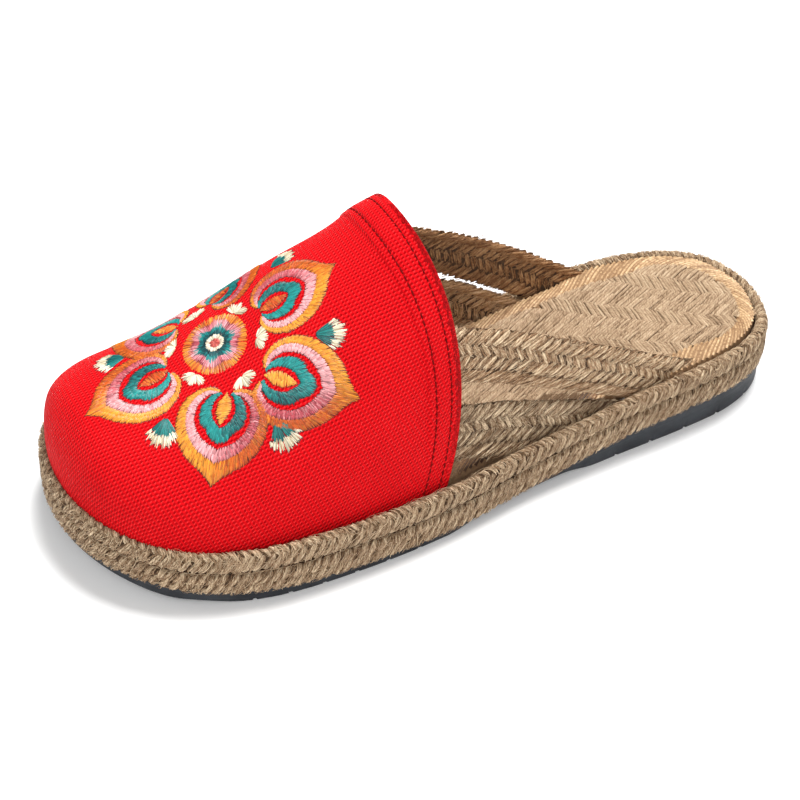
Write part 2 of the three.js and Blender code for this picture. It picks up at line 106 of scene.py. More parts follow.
# Underside of the rubber above the floor, as shares of the heel lift
GROUND = table(
    "along ground",
    (0.00, 0.04),
    (0.05, 0.00),
    (0.32, 0.00),
    (0.38, 0.18),
    (0.50, 0.20),
    (0.56, 0.00),
    (0.82, 0.00),
    (0.90, 0.17),
    (1.00, 0.58),
)

# Crown of the vamp over its base, as shares of the instep rise
CROWN = table(
    "share rise",
    (0.00, 0.25),
    (0.08, 0.325),
    (0.25, 0.427),
    (0.50, 0.602),
    (0.75, 0.818),
    (0.92, 0.946),
    (1.00, 1.026),
    (1.50, 1.18),
)
NOSE_SHARE = 0.08
SIDE_FULLNESS = 2.31
CROWN_FULLNESS = 2.34
CROWN_LEAN = 4.6
CROWN_LEAN_GROWTH = 4.8
EDGE_TOP_SWEEP = 5.4
EDGE_SIDE_SWEEP = 5.8
FULL_LEAN_RISE = 11.0
WALL_CLIMB_LIMIT = 0.98

# Where the pieces of the rim stand, measured inwards from the outline
VAMP_INSET = RING_WIDTH + GAP
BASE_DROP = 2.0
RING_FOOT = MIDSOLE_HEIGHT + GAP
RING_TOP = RING_FOOT + RING_HEIGHT
STRAP_SLOT = STRAP_THICKNESS + 2 * BRAID_RELIEF + 2 * GAP
SLOT_END = 88.0
SLOT_CLOSED = 106.0
SOLE_INSET = 1.2
BINDING_WIDTH = 8.5
BINDING_THICKNESS = 1.2
BINDING_TOP = RING_TOP - 0.1
INSOLE_DISH = 1.2

# Each strap's middle line on the foot's side: along as a share of the shoe's length from
# the heel, height over the midsole as a share of the instep rise
STRAP_PATHS = dict(
    strap_lateral_upper=table(
        "along height",
        (0.578, 0.715), (0.519, 0.632), (0.422, 0.492), (0.326, 0.293), (0.229, 0.087),
        (0.159, -0.048),
    ),
    strap_lateral_lower=table(
        "along height",
        (0.578, 0.335), (0.531, 0.285), (0.457, 0.200), (0.384, 0.100), (0.318, -0.019),
        (0.283, -0.088),
    ),
    strap_medial_upper=table(
        "along height",
        (0.578, 0.804), (0.519, 0.723), (0.461, 0.615), (0.403, 0.489), (0.322, 0.282),
        (0.256, 0.101), (0.178, -0.096),
    ),
    strap_medial_lower=table(
        "along height",
        (0.578, 0.455), (0.523, 0.402), (0.422, 0.252), (0.345, 0.050), (0.287, -0.095),
    ),
)
STRAP_TUCK = 2.8
STRAP_FREE_FROM = 2.0
STRAP_FREE_TO = 30.0
STRAP_LEAVES_SLOT = 1.0
STRAP_FULLY_TUCKED = 8.0


# Reads one column of a table as a smooth curve through its rows
def smooth_table(rows, place_name, value_name, places):
    knots = np.array([row[place_name] for row in rows])
    values = np.array([row[value_name] for row in rows])
    places = np.clip(np.asarray(places, float), knots[0], knots[-1])
    last = len(knots) - 1
    upper = np.clip(np.searchsorted(knots, places, side="right"), 1, last)
    lower = upper - 1
    before = np.where(lower > 0, lower - 1, upper)
    after = np.where(upper < last, np.minimum(upper + 1, last), lower)
    half_step = (knots[upper] - knots[lower]) / 2
    weight_before = half_step / (knots[lower] - knots[before])
    weight_after = half_step / (knots[after] - knots[upper])
    p = (places - knots[lower]) / (knots[upper] - knots[lower])
    share_before = weight_before * (-p ** 3 + 2 * p ** 2 - p)
    share_lower = (1 + weight_before) * p ** 3 - (1.5 + 2 * weight_before) * p ** 2
    share_lower = share_lower + (weight_before - 0.5) * p + 1
    share_upper = -(1 + weight_after) * p ** 3 + (1.5 + weight_after) * p ** 2 + 0.5 * p
    share_after = weight_after * (p ** 3 - p ** 2)
    near = share_lower * values[lower] + share_upper * values[upper]
    return near + share_before * values[before] + share_after * values[after]


def smoothstep(low, high, value):
    share = np.clip((value - low) / (high - low), 0, 1)
    return share * share * (3 - 2 * share)


# Reads one column of a table with flat rests at its rows, so that equal rows stay level
def level_table(rows, place_name, value_name, places):
    knots = np.array([row[place_name] for row in rows])
    values = np.array([row[value_name] for row in rows])
    upper = np.clip(np.searchsorted(knots, places), 1, len(knots) - 1)
    share = smoothstep(knots[upper - 1], knots[upper], places)
    return values[upper - 1] + (values[upper] - values[upper - 1]) * share


def along_at(y):
    return 0.5 - np.asarray(y, float) / SHOE_LENGTH


def lift_at(y):
    return HEEL_LIFT * smooth_table(LIFT, "along", "lift", along_at(y))


def ground_at(y):
    return HEEL_LIFT * level_table(GROUND, "along", "ground", along_at(y))


# A centripetal curve through the points, as densely sampled points
def smooth_line(points, closed, samples):
    points = np.asarray(points, float)
    if closed:
        padded = np.vstack([points[-1], points, points[0], points[1]])
    else:
        first, last = 2 * points[0] - points[1], 2 * points[-1] - points[-2]
        padded = np.vstack([first, points, last])
    steps = np.linspace(0, 1, samples, endpoint=False)[:, None]
    pieces = []
    for p0, p1, p2, p3 in zip(padded, padded[1:], padded[2:], padded[3:]):
        d0, d1, d2 = (math.sqrt(np.linalg.norm(b - a)) for a, b in ((p0, p1), (p1, p2), (p2, p3)))
        first = ((p1 - p0) / d0 - (p2 - p0) / (d0 + d1) + (p2 - p1) / d1) * d1
        second = ((p2 - p1) / d1 - (p3 - p1) / (d1 + d2) + (p3 - p2) / d2) * d1
        square = -3 * p1 + 3 * p2 - 2 * first - second
        cube = 2 * p1 - 2 * p2 + first + second
        pieces.append(p1 + first * steps + square * steps ** 2 + cube * steps ** 3)
    pieces.append(points[:1] if closed else points[-1:])
    return np.vstack(pieces)


# Arch over shares from 0 to 1, cut off at its ends; a lower power makes it flatter on top
def arch_over(share, cut, power):
    return np.sin(math.pi * (cut + (1 - 2 * cut) * share)) ** power


# Lengths along a line of points, from its start
def run_lengths(line):
    steps = np.linalg.norm(np.diff(line, axis=0), axis=1)
    return np.concatenate([[0], np.cumsum(steps)])


def unit(vectors):
    lengths = np.linalg.norm(vectors, axis=-1, keepdims=True)
    return vectors / np.maximum(lengths, 1e-12)


# Flat point at a share of the length from the heel and a share of the ball width
def plan_point(along, side_share):
    return [BALL_WIDTH * side_share, SHOE_LENGTH * (0.5 - along)]


# The closed outline runs from the heel along the outer side to the toe and back
LATERAL_SIDE = [plan_point(row["along"], row["lateral"]) for row in OUTLINE]
MEDIAL_SIDE = [plan_point(row["along"], -row["medial"]) for row in reversed(OUTLINE)]
HEEL_TIP = plan_point(0, HEEL_TIP_SIDE)
TOE_TIP = plan_point(1, TOE_TIP_SIDE)
RIM_LINE = smooth_line([HEEL_TIP, *LATERAL_SIDE, TOE_TIP, *MEDIAL_SIDE], True, 160)
RIM_PLACES = run_lengths(RIM_LINE)
RIM_LENGTH = RIM_PLACES[-1]
RIM_TURNS = RIM_PLACES / RIM_LENGTH
RIM_AHEAD = unit(np.roll(RIM_LINE[:-1], -1, axis=0) - np.roll(RIM_LINE[:-1], 1, axis=0))
RIM_AHEAD = np.vstack([RIM_AHEAD, RIM_AHEAD[:1]])

# The frame's origin lies under the middle of the outline
SHIFT = -(RIM_LINE[:, 0].min() + RIM_LINE[:, 0].max()) / 2


# Direction along the rim and the point at an inset, for turns from 0 to 1
def rim_frame(turn, inset):
    turn = np.mod(turn, 1.0)
    x = np.interp(turn, RIM_TURNS, RIM_LINE[:, 0])
    y = np.interp(turn, RIM_TURNS, RIM_LINE[:, 1])
    ahead_x = np.interp(turn, RIM_TURNS, RIM_AHEAD[:, 0])
    ahead_y = np.interp(turn, RIM_TURNS, RIM_AHEAD[:, 1])
    return x + ahead_y * inset, y - ahead_x * inset, ahead_x, ahead_y


# Side lines already worked out, by inset
SIDE_LINES = {}
SIDE_SAMPLES = 1440


# Both sides of the inset outline, each with rising y, and its foremost point
def side_lines(inset):
    key = round(float(inset), 2)
    if key not in SIDE_LINES:
        x, y, _, _ = rim_frame(np.arange(SIDE_SAMPLES) / SIDE_SAMPLES, key)
        heel, toe = int(y.argmax()), int(y.argmin())
        to_toe = np.arange(heel, toe + 1 + (SIDE_SAMPLES if toe < heel else 0)) % SIDE_SAMPLES
        to_heel = np.arange(toe, heel + 1 + (SIDE_SAMPLES if heel < toe else 0)) % SIDE_SAMPLES
        lateral = (x[to_toe][::-1], y[to_toe][::-1])
        medial = (x[to_heel], y[to_heel])
        SIDE_LINES[key] = dict(lateral=lateral, medial=medial, nose_x=x[toe], nose_y=y[toe])
    return SIDE_LINES[key]


EDGE_BASE_Y = VAMP_LENGTH - SHOE_LENGTH / 2


# Cross-section of the last at y, drawn inwards from the outline by the inset
def last_section(y, inset):
    lines = side_lines(inset)
    nose_x, nose_y = lines["nose_x"], lines["nose_y"]
    share = (y - nose_y) / (EDGE_BASE_Y - nose_y)
    to_nose = np.clip(share / NOSE_SHARE, 0, 1)
    nose_round = np.sqrt(1 - (1 - to_nose) ** 2)
    lateral_x, lateral_y = lines["lateral"]
    medial_x, medial_y = lines["medial"]
    outer = np.where(y <= nose_y, nose_x, np.interp(y, lateral_y, lateral_x))
    inner = np.where(y <= nose_y, nose_x, np.interp(y, medial_y, medial_x))
    crown = INSTEP_RISE * smooth_table(CROWN, "share", "rise", share)
    return dict(
        middle=(outer + inner) / 2,
        half=(outer - inner) / 2,
        base=lift_at(y) + RING_TOP - BASE_DROP,
        rise=nose_round * (crown - (inset - VAMP_INSET)),
        lean=-(CROWN_LEAN + CROWN_LEAN_GROWTH * np.clip(share, 0, 1)),
    )


def climb_at(angle):
    return np.abs(np.sin(angle)) ** (2 / CROWN_FULLNESS)


def last_point(y, angle, inset):
    section = last_section(y, inset)
    cosine = np.cos(angle)
    reach = np.sign(cosine) * np.abs(cosine) ** (2 / SIDE_FULLNESS)
    climb = climb_at(angle)
    lean = section["lean"] * np.minimum(1, section["rise"] / FULL_LEAN_RISE)
    x = section["middle"] + section["half"] * reach + lean * climb
    return np.stack([x, y + 0 * x, section["base"] + section["rise"] * climb], -1)


# Where the vamp's rear edge lies for an angle of the section
def edge_y(angle):
    climb = climb_at(angle)
    return EDGE_BASE_Y + EDGE_TOP_SWEEP * climb + EDGE_SIDE_SWEEP * 4 * climb * (1 - climb)


# Point of the foot's side wall at a height, for a strap that lies on it
def wall_point(y, z, inset, side):
    section = last_section(y, inset)
    climb = np.clip((z - section["base"]) / section["rise"], 0, WALL_CLIMB_LIMIT)
    reach = (1 - climb ** CROWN_FULLNESS) ** (1 / SIDE_FULLNESS)
    x = section["middle"] + side * section["half"] * reach + section["lean"] * climb
    return np.stack([x, y + 0 * x, z + 0 * x], -1)


STRAP_SEAT = RING_WIDTH + STRAP_SLOT / 2


# A strap stands in the slot at its foot and lies inside the vamp at its front
def strap_wall_point(middle_y, y, z, side):
    tucked = 1 - smoothstep(STRAP_FREE_FROM, STRAP_FREE_TO, middle_y)
    above = z - (lift_at(middle_y) + RING_TOP - BASE_DROP)
    share = (tucked * smoothstep(STRAP_LEAVES_SLOT, STRAP_FULLY_TUCKED, above))[..., None]
    seated = wall_point(y, z, STRAP_SEAT, side)
    inside = wall_point(y, z, STRAP_SEAT + STRAP_TUCK, side)
    return seated + (inside - seated) * share


STRAP_LINE_SAMPLES = 60


def strap_line(strap):
    rows = STRAP_PATHS[strap["name"]]
    y = SHOE_LENGTH * (0.5 - np.array([row["along"] for row in rows]))
    height = np.array([row["height"] for row in rows])
    z = lift_at(y) + RING_FOOT + INSTEP_RISE * height
    line = smooth_line(np.stack([y, z], -1), False, STRAP_LINE_SAMPLES)
    return line, run_lengths(line)


# Point and outward normal of a strap's middle sheet, by length along and across it
def strap_surface(strap):
    line, places = strap_line(strap)
    ahead = unit(np.gradient(line, axis=0))

    def surface(along, across):
        middle_y = np.interp(along, places, line[:, 0])
        middle_z = np.interp(along, places, line[:, 1])
        y = middle_y - np.interp(along, places, ahead[:, 1]) * across
        z = middle_z + np.interp(along, places, ahead[:, 0]) * across
        point = strap_wall_point(middle_y, y, z, strap["side"])
        beside = strap_wall_point(middle_y, y + 1, z, strap["side"]) - point
        above = strap_wall_point(middle_y, y, z + 1, strap["side"]) - point
        normal = unit(np.cross(beside, above))
        return point, normal * strap["side"]

    return surface, places[-1]


# Faces between the rows of a grid of points
def grid_faces(rows, columns, close_rows=False, close_columns=False):
    row = np.arange(rows if close_rows else rows - 1)
    column = np.arange(columns if close_columns else columns - 1)
    row, column = np.meshgrid(row, column, indexing="ij")
    next_row, next_column = (row + 1) % rows, (column + 1) % columns
    corners = [
        row * columns + column,
        row * columns + next_column,
        next_row * columns + next_column,
        next_row * columns + column,
    ]
    return np.stack(corners, -1).reshape(-1, 4)


# Makes a mesh object from points in the shoe's own frame, in millimetres
def add_piece(name, points, faces, material, attributes=()):
    places = points.reshape(-1, 3) + np.array([SHIFT, 0, 0])
    mesh = bpy.data.meshes.new(name)
    mesh.vertices.add(len(places))
    mesh.vertices.foreach_set("co", (places * MM).astype(np.float32).ravel())
    mesh.loops.add(faces.size)
    mesh.loops.foreach_set("vertex_index", faces.astype(np.int32).ravel())
    mesh.polygons.add(len(faces))
    mesh.polygons.foreach_set("loop_start", np.arange(len(faces), dtype=np.int32) * 4)
    mesh.polygons.foreach_set("use_smooth", np.ones(len(faces), bool))
    for label, values in attributes:
        kind = "FLOAT_COLOR" if values.shape[-1] == 4 else "FLOAT_VECTOR"
        field = "color" if kind == "FLOAT_COLOR" else "vector"
        layer = mesh.attributes.new(label, kind, "POINT")
        layer.data.foreach_set(field, values.reshape(-1).astype(np.float32))
    mesh.update(calc_edges=True)
    mesh.validate()
    piece = bpy.data.objects.new(name, mesh)
    bpy.context.scene.collection.objects.link(piece)
    mesh.materials.append(material)
    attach(piece, "root")
    return piece


# Adds a grid of points as a piece
def add_grid(name, points, material, rows=False, columns=False, layers=()):
    faces = grid_faces(*points.shape[:2], close_rows=rows, close_columns=columns)
    return add_piece(name, points, faces, material, layers)


# Turns of the points round the visible part of a yarn, a fine thread and a fibre
YARN_ARC = np.radians([-24.0, 52.0, 128.0, 204.0])
THREAD_ARC = np.radians([0.0, 90.0, 180.0])
FIBRE_ARC = np.radians([0.0, 180.0])


# Arched sheets along many lines at once, open underneath where they lie on something.
# Widths and heights are half sizes, by line and station
def yarn_mesh(lines, ups, widths, heights, seeds, turn):
    count, stations = lines.shape[:2]
    sides = len(turn)
    ahead = unit(np.gradient(lines, axis=1))
    across = unit(np.cross(ups, ahead))
    above = np.cross(ahead, across)
    flat = across[:, :, None] * (widths[..., None] * np.cos(turn))[..., None]
    tall = above[:, :, None] * (heights[..., None] * np.sin(turn))[..., None]
    points = lines[:, :, None] + flat + tall
    one = grid_faces(stations, sides)
    first = np.arange(count)[:, None, None] * stations * sides
    faces = (one[None] + first).reshape(-1, 4)
    steps = np.linalg.norm(np.diff(lines, axis=1), axis=2)
    along = np.concatenate([np.zeros((count, 1)), np.cumsum(steps, axis=1)], axis=1)
    yarn = np.zeros((count, stations, sides, 3))
    yarn[..., 0] = along[:, :, None]
    yarn[..., 1] = turn / (2 * math.pi) + 0.25
    yarn[..., 2] = seeds[:, None, None]
    return points, faces, yarn


# Groups of yarns as one group: lines, up directions, half widths, half heights, seeds
def joined(groups):
    return [np.concatenate(layers) for layers in zip(*groups)]


# Adds a group of yarns as one piece, with a tint for each yarn where they are dyed
def add_yarns(name, yarns, material, turn=YARN_ARC, tints=None):
    points, faces, yarn = yarn_mesh(*yarns, turn)
    layers = [("yarn", yarn)]
    if tints is not None:
        layers.append(("tint", np.zeros(yarn.shape[:3] + (4,)) + tints[:, None, None]))
    add_piece(name, points, faces, material, layers)


# A node tree around one principled shader
class Finish:
    def __init__(self, name, **sockets):
        self.material = bpy.data.materials.new(name)
        self.material.use_nodes = True
        self.tree = self.material.node_tree
        self.shader = self.tree.nodes["Principled BSDF"]
        for label, value in sockets.items():
            self.shader.inputs[label.replace("_", " ")].default_value = value

    # A node with its settings, whose sockets take another node's output or a plain value
    def node(self, kind, sockets=(), **settings):
        made = self.tree.nodes.new(kind)
        for label, value in settings.items():
            setattr(made, label, value)
        for socket, value in sockets:
            if isinstance(value, bpy.types.NodeSocket):
                self.tree.links.new(value, made.inputs[socket])
            else:
                made.inputs[socket].default_value = value
        return made

    def math(self, operation, *values):
        return self.node("ShaderNodeMath", enumerate(values), operation=operation).outputs[0]

    def plus(self, first, second):
        return self.math("ADD", first, second)

    def times(self, first, second):
        return self.math("MULTIPLY", first, second)

    # Sum of values, each times its weight
    def weighted(self, *terms):
        total = self.times(*terms[0])
        for value, weight in terms[1:]:
            total = self.plus(total, self.times(value, weight))
        return total

    def attribute(self, name, output="Vector"):
        return self.node("ShaderNodeAttribute", attribute_name=name).outputs[output]

    def object_place(self):
        return self.node("ShaderNodeTexCoord").outputs["Object"]

    def parts(self, vector):
        return self.node("ShaderNodeSeparateXYZ", [(0, vector)]).outputs

    def joined(self, x, y, z):
        return self.node("ShaderNodeCombineXYZ", enumerate((x, y, z))).outputs[0]

    def noise(self, vector, scale, detail=3.0, roughness=0.55):
        sockets = dict(Vector=vector, Scale=scale, Detail=detail, Roughness=roughness)
        return self.node("ShaderNodeTexNoise", sockets.items()).outputs["Fac"]

    def ramp(self, factor, *stops):
        made = self.node("ShaderNodeValToRGB", [(0, factor)])
        elements = made.color_ramp.elements
        while len(elements) < len(stops):
            elements.new(0.5)
        for element, (place, shade) in zip(elements, stops):
            element.position = place
            element.color = shade
        return made.outputs["Color"]

    def tinted(self, tint, shade):
        sockets = [(0, 1.0), (6, tint), (7, shade)]
        made = self.node("ShaderNodeMix", sockets, data_type="RGBA", blend_type="MULTIPLY")
        return made.outputs[2]

    def bump(self, height, distance, strength=1.0):
        sockets = dict(Height=height, Distance=distance * MM, Strength=strength)
        return self.node("ShaderNodeBump", sockets.items()).outputs["Normal"]

    def finished(self, base, normal):
        self.tree.links.new(base, self.shader.inputs["Base Color"])
        self.tree.links.new(normal, self.shader.inputs["Normal"])
        return self.material


def colour(red, green, blue):
    shares = [value / 255 for value in (red, green, blue)]
    linear = [s / 12.92 if s < 0.04045 else ((s + 0.055) / 1.055) ** 2.4 for s in shares]
    return (*linear, 1.0)


# How far the noise jumps from yarn to yarn, how fast the fibres twist round it, and how
# far they are drawn out along it
JUTE_JUMP = 91.0
THREAD_JUMP = 70.0
SATIN_JUMP = 60.0
FIBRE_TWIST = 7.0
THREAD_TWIST = 4.0
FIBRE_STRETCH = 0.45


# Spun jute: fibres run along the yarn and twist round it
def jute_finish(name, dark, middle, light):
    finish = Finish(name, Roughness=0.82, Specular_IOR_Level=0.25)
    along, around, seed = finish.parts(finish.attribute("yarn"))
    twist = finish.plus(finish.times(around, FIBRE_TWIST), along)
    jump = finish.times(seed, JUTE_JUMP)
    place = finish.joined(finish.times(along, FIBRE_STRETCH), twist, jump)
    fibre = finish.noise(place, 1.3, 4.0, 0.7)
    blotch = finish.noise(finish.joined(along, jump, 0.0), 0.35, 2.0)
    # Each yarn's seed shifts its tone; the seeds also carry painted shade, on strand edges and under
    # the near straps
    tone = finish.weighted((finish.plus(fibre, -0.5), 2.3), (seed, 0.45), (blotch, 0.55))
    base = finish.ramp(tone, (0.05, dark), (0.45, middle), (0.95, light))
    return finish.finished(base, finish.bump(fibre, 0.35, 0.9))


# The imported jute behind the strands
def backing_finish(name, dark, light):
    finish = Finish(name, Roughness=0.95)
    grain = finish.noise(finish.object_place(), 900.0, 4.0, 0.7)
    return finish.finished(finish.ramp(grain, (0.3, dark), (0.7, light)), finish.bump(grain, 0.5))


# Spacing of the canvas threads, their slant, and how far they stray
WEFT_PITCH = 1.45
WARP_PITCH = 0.62
WARP_LEAN = 0.2
WEAVE_DRIFT = 0.9
WEAVE_JITTER = 0.22


# Plain-woven canvas: threads rise and dive in turn, in cells across the cloth. The raised
# threads are painted lighter, up to a pale painted highlight, and the hollows darker as
# painted shade
def canvas_finish():
    finish = Finish("canvas", Roughness=0.66, Specular_IOR_Level=0.06, Sheen_Weight=0.02)
    finish.shader.inputs["Sheen Tint"].default_value = colour(255, 60, 60)
    cloth = finish.attribute("cloth")
    across, along, _ = finish.parts(cloth)
    drift = finish.times(finish.noise(cloth, 0.16, 2.0), WEAVE_DRIFT)
    jitter = finish.times(finish.noise(cloth, 0.9, 2.0), WEAVE_JITTER)
    shift = finish.plus(drift, jitter)
    leaning = finish.plus(along, finish.times(across, WARP_LEAN))
    waves = []
    for place, pitch in ((across, WEFT_PITCH), (leaning, WARP_PITCH)):
        turn = finish.times(finish.plus(place, shift), math.pi / pitch)
        waves.append(finish.math("SINE", turn))
    raised = finish.plus(finish.times(finish.times(*waves), 0.5), 0.5)
    fuzz = finish.noise(cloth, 2.6, 4.0, 0.6)
    patch = finish.noise(cloth, 0.04, 2.0)
    # Tone from the weave's height is painted highlight on the raised threads and painted shade in the
    # hollows; fuzz and patches vary it at random
    tone = finish.weighted((raised, 0.62), (fuzz, 0.34), (patch, 0.16))
    base = finish.ramp(
        tone,
        (0.16, colour(140, 0, 8)),
        (0.42, colour(204, 3, 14)),
        (0.68, colour(228, 9, 19)),
        (0.95, colour(255, 62, 64)),
    )
    return finish.finished(base, finish.bump(finish.plus(raised, finish.times(fuzz, 0.4)), 0.6))


# Glossy embroidery thread, coloured stitch by stitch
def thread_finish(name, roughness, shine):
    finish = Finish(name, Roughness=roughness, Specular_IOR_Level=shine)
    along, around, seed = finish.parts(finish.attribute("yarn"))
    twist = finish.plus(finish.times(around, THREAD_TWIST), along)
    ply = finish.noise(finish.joined(twist, finish.times(seed, THREAD_JUMP), 0.0), 2.5)
    shade = finish.ramp(ply, (0.3, (0.5, 0.5, 0.5, 1)), (0.7, (1.12, 1.12, 1.12, 1)))
    base = finish.tinted(finish.attribute("tint", "Color"), shade)
    return finish.finished(base, finish.bump(ply, 0.08, 0.6))


# Shiny satin ribbon, finely ribbed
def satin_finish():
    finish = Finish("satin", Roughness=0.42, Specular_IOR_Level=0.35)
    along, around, seed = finish.parts(finish.attribute("yarn"))
    jump = finish.times(seed, SATIN_JUMP)
    fine = finish.noise(finish.joined(finish.times(along, 0.5), jump, around), 2.4)
    # A rib's seed lifts its tone; seeds lowered under the near straps reach the darkest stop, as
    # painted shade
    base = finish.ramp(
        finish.plus(fine, finish.times(seed, 0.25)),
        (0.02, colour(70, 48, 32)),
        (0.40, colour(130, 96, 64)),
        (0.64, colour(182, 147, 108)),
        (0.90, colour(222, 192, 150)),
    )
    return finish.finished(base, finish.bump(fine, 0.1, 0.5))


def rubber_finish():
    finish = Finish("rubber", Roughness=0.62, Specular_IOR_Level=0.25)
    place = finish.object_place()
    grain = finish.noise(place, 2600.0, 3.0)
    dust = finish.noise(place, 90.0, 3.0)
    base = finish.ramp(dust, (0.3, colour(34, 36, 40)), (0.75, colour(58, 61, 66)))
    return finish.finished(base, finish.bump(grain, 0.12, 0.5))


JUTE = jute_finish("jute", colour(60, 40, 26), colour(160, 124, 91), colour(242, 218, 182))
# Lit and shaded copies of one jute: darker copies paint shade on the side rows, the near lower strap
# and the far upper strap, and a lighter copy paints light on the far lower strap
SHADED_SIDE_JUTE = jute_finish(
    "shaded_side_jute", colour(54, 36, 23), colour(133, 104, 76), colour(232, 208, 174))
SHADED_FAR_JUTE = jute_finish(
    "shaded_far_jute", colour(62, 36, 20), colour(146, 102, 66), colour(216, 172, 126))
LIT_LOW_FAR_JUTE = jute_finish(
    "lit_low_far_jute", colour(84, 54, 32), colour(186, 142, 100), colour(242, 206, 164))
INSOLE_JUTE = jute_finish(
    "insole_jute", colour(100, 76, 54), colour(163, 136, 107), colour(200, 175, 145))
# Dark jute for the sheets behind the strands, as painted shade in the gaps between them
SHADED_BACKING = backing_finish("shaded_jute_backing", colour(52, 36, 24), colour(98, 74, 52))
INSOLE_BACKING = backing_finish("insole_backing", colour(124, 94, 66), colour(160, 128, 94))
CANVAS = canvas_finish()
THREAD = thread_finish("embroidery_thread", 0.36, 0.45)
HEM_THREAD = thread_finish("hem_thread", 0.8, 0.08)
SATIN = satin_finish()
RUBBER = rubber_finish()


# Sections of the side rows, as shares of their width and height: the rolled braid round
# the rim and the midsole's side
RING_SECTION = table(
    "inset height",
    (0.40, -0.02),
    (0.10, -0.01),
    (0.03, 0.16),
    (0.02, 0.42),
    (0.08, 0.68),
    (0.28, 0.90),
    (0.56, 0.97),
    (0.84, 0.90),
    (0.97, 0.66),
    (0.99, 0.20),
    (0.90, 0.02),
)
MIDSOLE_SECTION = table(
    "inset height",
    (0.70, -0.34),
    (0.20, -0.32),
    (0.04, 0.05),
    (0.02, 0.50),
    (0.18, 0.86),
    (0.90, 0.98),
)


# How far the side rows swell upwards, and between which places along the shoe
SIDE_SWELL = 2.2
SWELL_FRONT = (-105.0, -62.0)
SWELL_REAR = (52.0, 8.0)


# Surface of a side row, by length round the rim and length over its section
def rim_surface(section, width, foot, height, room):
    rows = [[row["inset"] * width, row["height"] * height] for row in section]
    line = smooth_line(rows, False, 40)
    ahead = unit(np.gradient(line, axis=0))
    outward = np.stack([-ahead[:, 1], ahead[:, 0]], -1)
    line = line + outward * room
    places = run_lengths(line)

    def surface(along, over):
        inset = np.interp(over, places, line[:, 0])
        rise = np.interp(over, places, line[:, 1])
        out_inset = np.interp(over, places, outward[:, 0])
        out_rise = np.interp(over, places, outward[:, 1])
        x, y, ahead_x, ahead_y = rim_frame(along / RIM_LENGTH, inset)
        swell = smoothstep(*SWELL_FRONT, y) * smoothstep(*SWELL_REAR, y)
        share = np.clip((foot + rise) / RING_TOP, 0, 1)
        point = np.stack([x, y, lift_at(y) + foot + rise + SIDE_SWELL * swell * share], -1)
        normal = np.stack([ahead_y * out_inset, -ahead_x * out_inset, out_rise + 0 * x], -1)
        return point, unit(normal)

    return surface, places[-1]


# Stray fibres: how far they turn off the strands, how much they bend, how thick they are
# and how many lie on each column
FIBRE_STATIONS = 5
FIBRE_STRAY = 0.3
FIBRE_BEND = 0.5
FIBRE_RADIUS = 0.1
FIBRE_ARCH = 0.12
FIBRE_LOOSE = 0.15
FIBRE_SPAN = (0.35, 1.0)
FIBRE_PLACE = (0.15, 0.85)
FIBRE_THICKNESS = (0.6, 1.3)
FIBRE_TONE = (0.6, 0.32)
FIBRE_TONE_LIMITS = (-0.2, 1.2)
RIM_FIBRES = 1500
STRAP_FIBRES = 240

# Strands: spacing and fill of their yarns, how round they are, how uneven, and how much
# lighter their middle yarns are painted than their edge yarns, as painted shade between strands
STRAND_STATIONS = 7
YARN_SPACING = 0.66
YARN_FILL = 0.6
YARN_FLATNESS = 0.85
YARN_ROLL = 0.08
END_SPACING = 0.5
END_WIDTH = 0.45
STRAND_CROWN = 0.5
STRAND_ROUND = 0.42
STRAND_VARIETY = 0.08
START_SPREAD = 0.07
OVER_SPREAD = 0.12
CREST_DROP = 1.3
CREST_PAINTED_SHADE = 0.88
TONE_SPREAD = 0.22


# Yarns of many slanting strands, laid side by side over a surface in columns
def strand_yarns(surface, columns, length, pitch, lift, rng, yarns=4, side=1):
    groups = []
    t = np.linspace(0, 1, STRAND_STATIONS)
    swell = arch_over(t, 0, STRAND_ROUND)
    count = int(round(length / pitch))
    for column in columns:
        starts = (np.arange(count) + column["phase"]) * length / count
        starts = starts + rng.normal(0, START_SPREAD * pitch, count)
        reach = column["high"] - column["low"]
        lean = column["lean"] * (1 + rng.normal(0, STRAND_VARIETY, count))
        size = math.hypot(reach, column["lean"])
        thick = 1 + rng.normal(0, STRAND_VARIETY, (count, 1))
        width = YARN_SPACING * column["wide"]
        for index in range(yarns):
            share = (2 * index + 1 - yarns) / yarns
            crest = 1 - CREST_DROP * share ** 2
            spacing = END_SPACING + (1 - END_SPACING) * swell
            offset = share * yarns / 2 * width * spacing * thick
            along = starts[:, None] + lean[:, None] * (t - 0.5) + offset * reach / size
            over = column["low"] + reach * t - offset * column["lean"] / size
            over = over + rng.normal(0, OVER_SPREAD, (count, 1))
            point, normal = surface(along, over)
            wave = 0.5 * t + index / 3 + rng.random((count, 1))
            bulge = column["bulge"] - STRAND_CROWN * (1 - crest)
            height = lift + bulge * swell * thick + YARN_ROLL * np.sin(2 * math.pi * wave)
            lines = point + side * normal * height[..., None]
            widths = width * YARN_FILL * (END_WIDTH + (1 - END_WIDTH) * swell) * thick
            # A strand's middle yarns are painted lighter and its edge yarns darker, as painted shade
            # between the strands
            seeds = rng.normal(0, TONE_SPREAD, count) + CREST_PAINTED_SHADE * crest + column["tone"]
            groups.append((lines, side * normal, widths, widths * YARN_FLATNESS, seeds))
    return joined(groups)


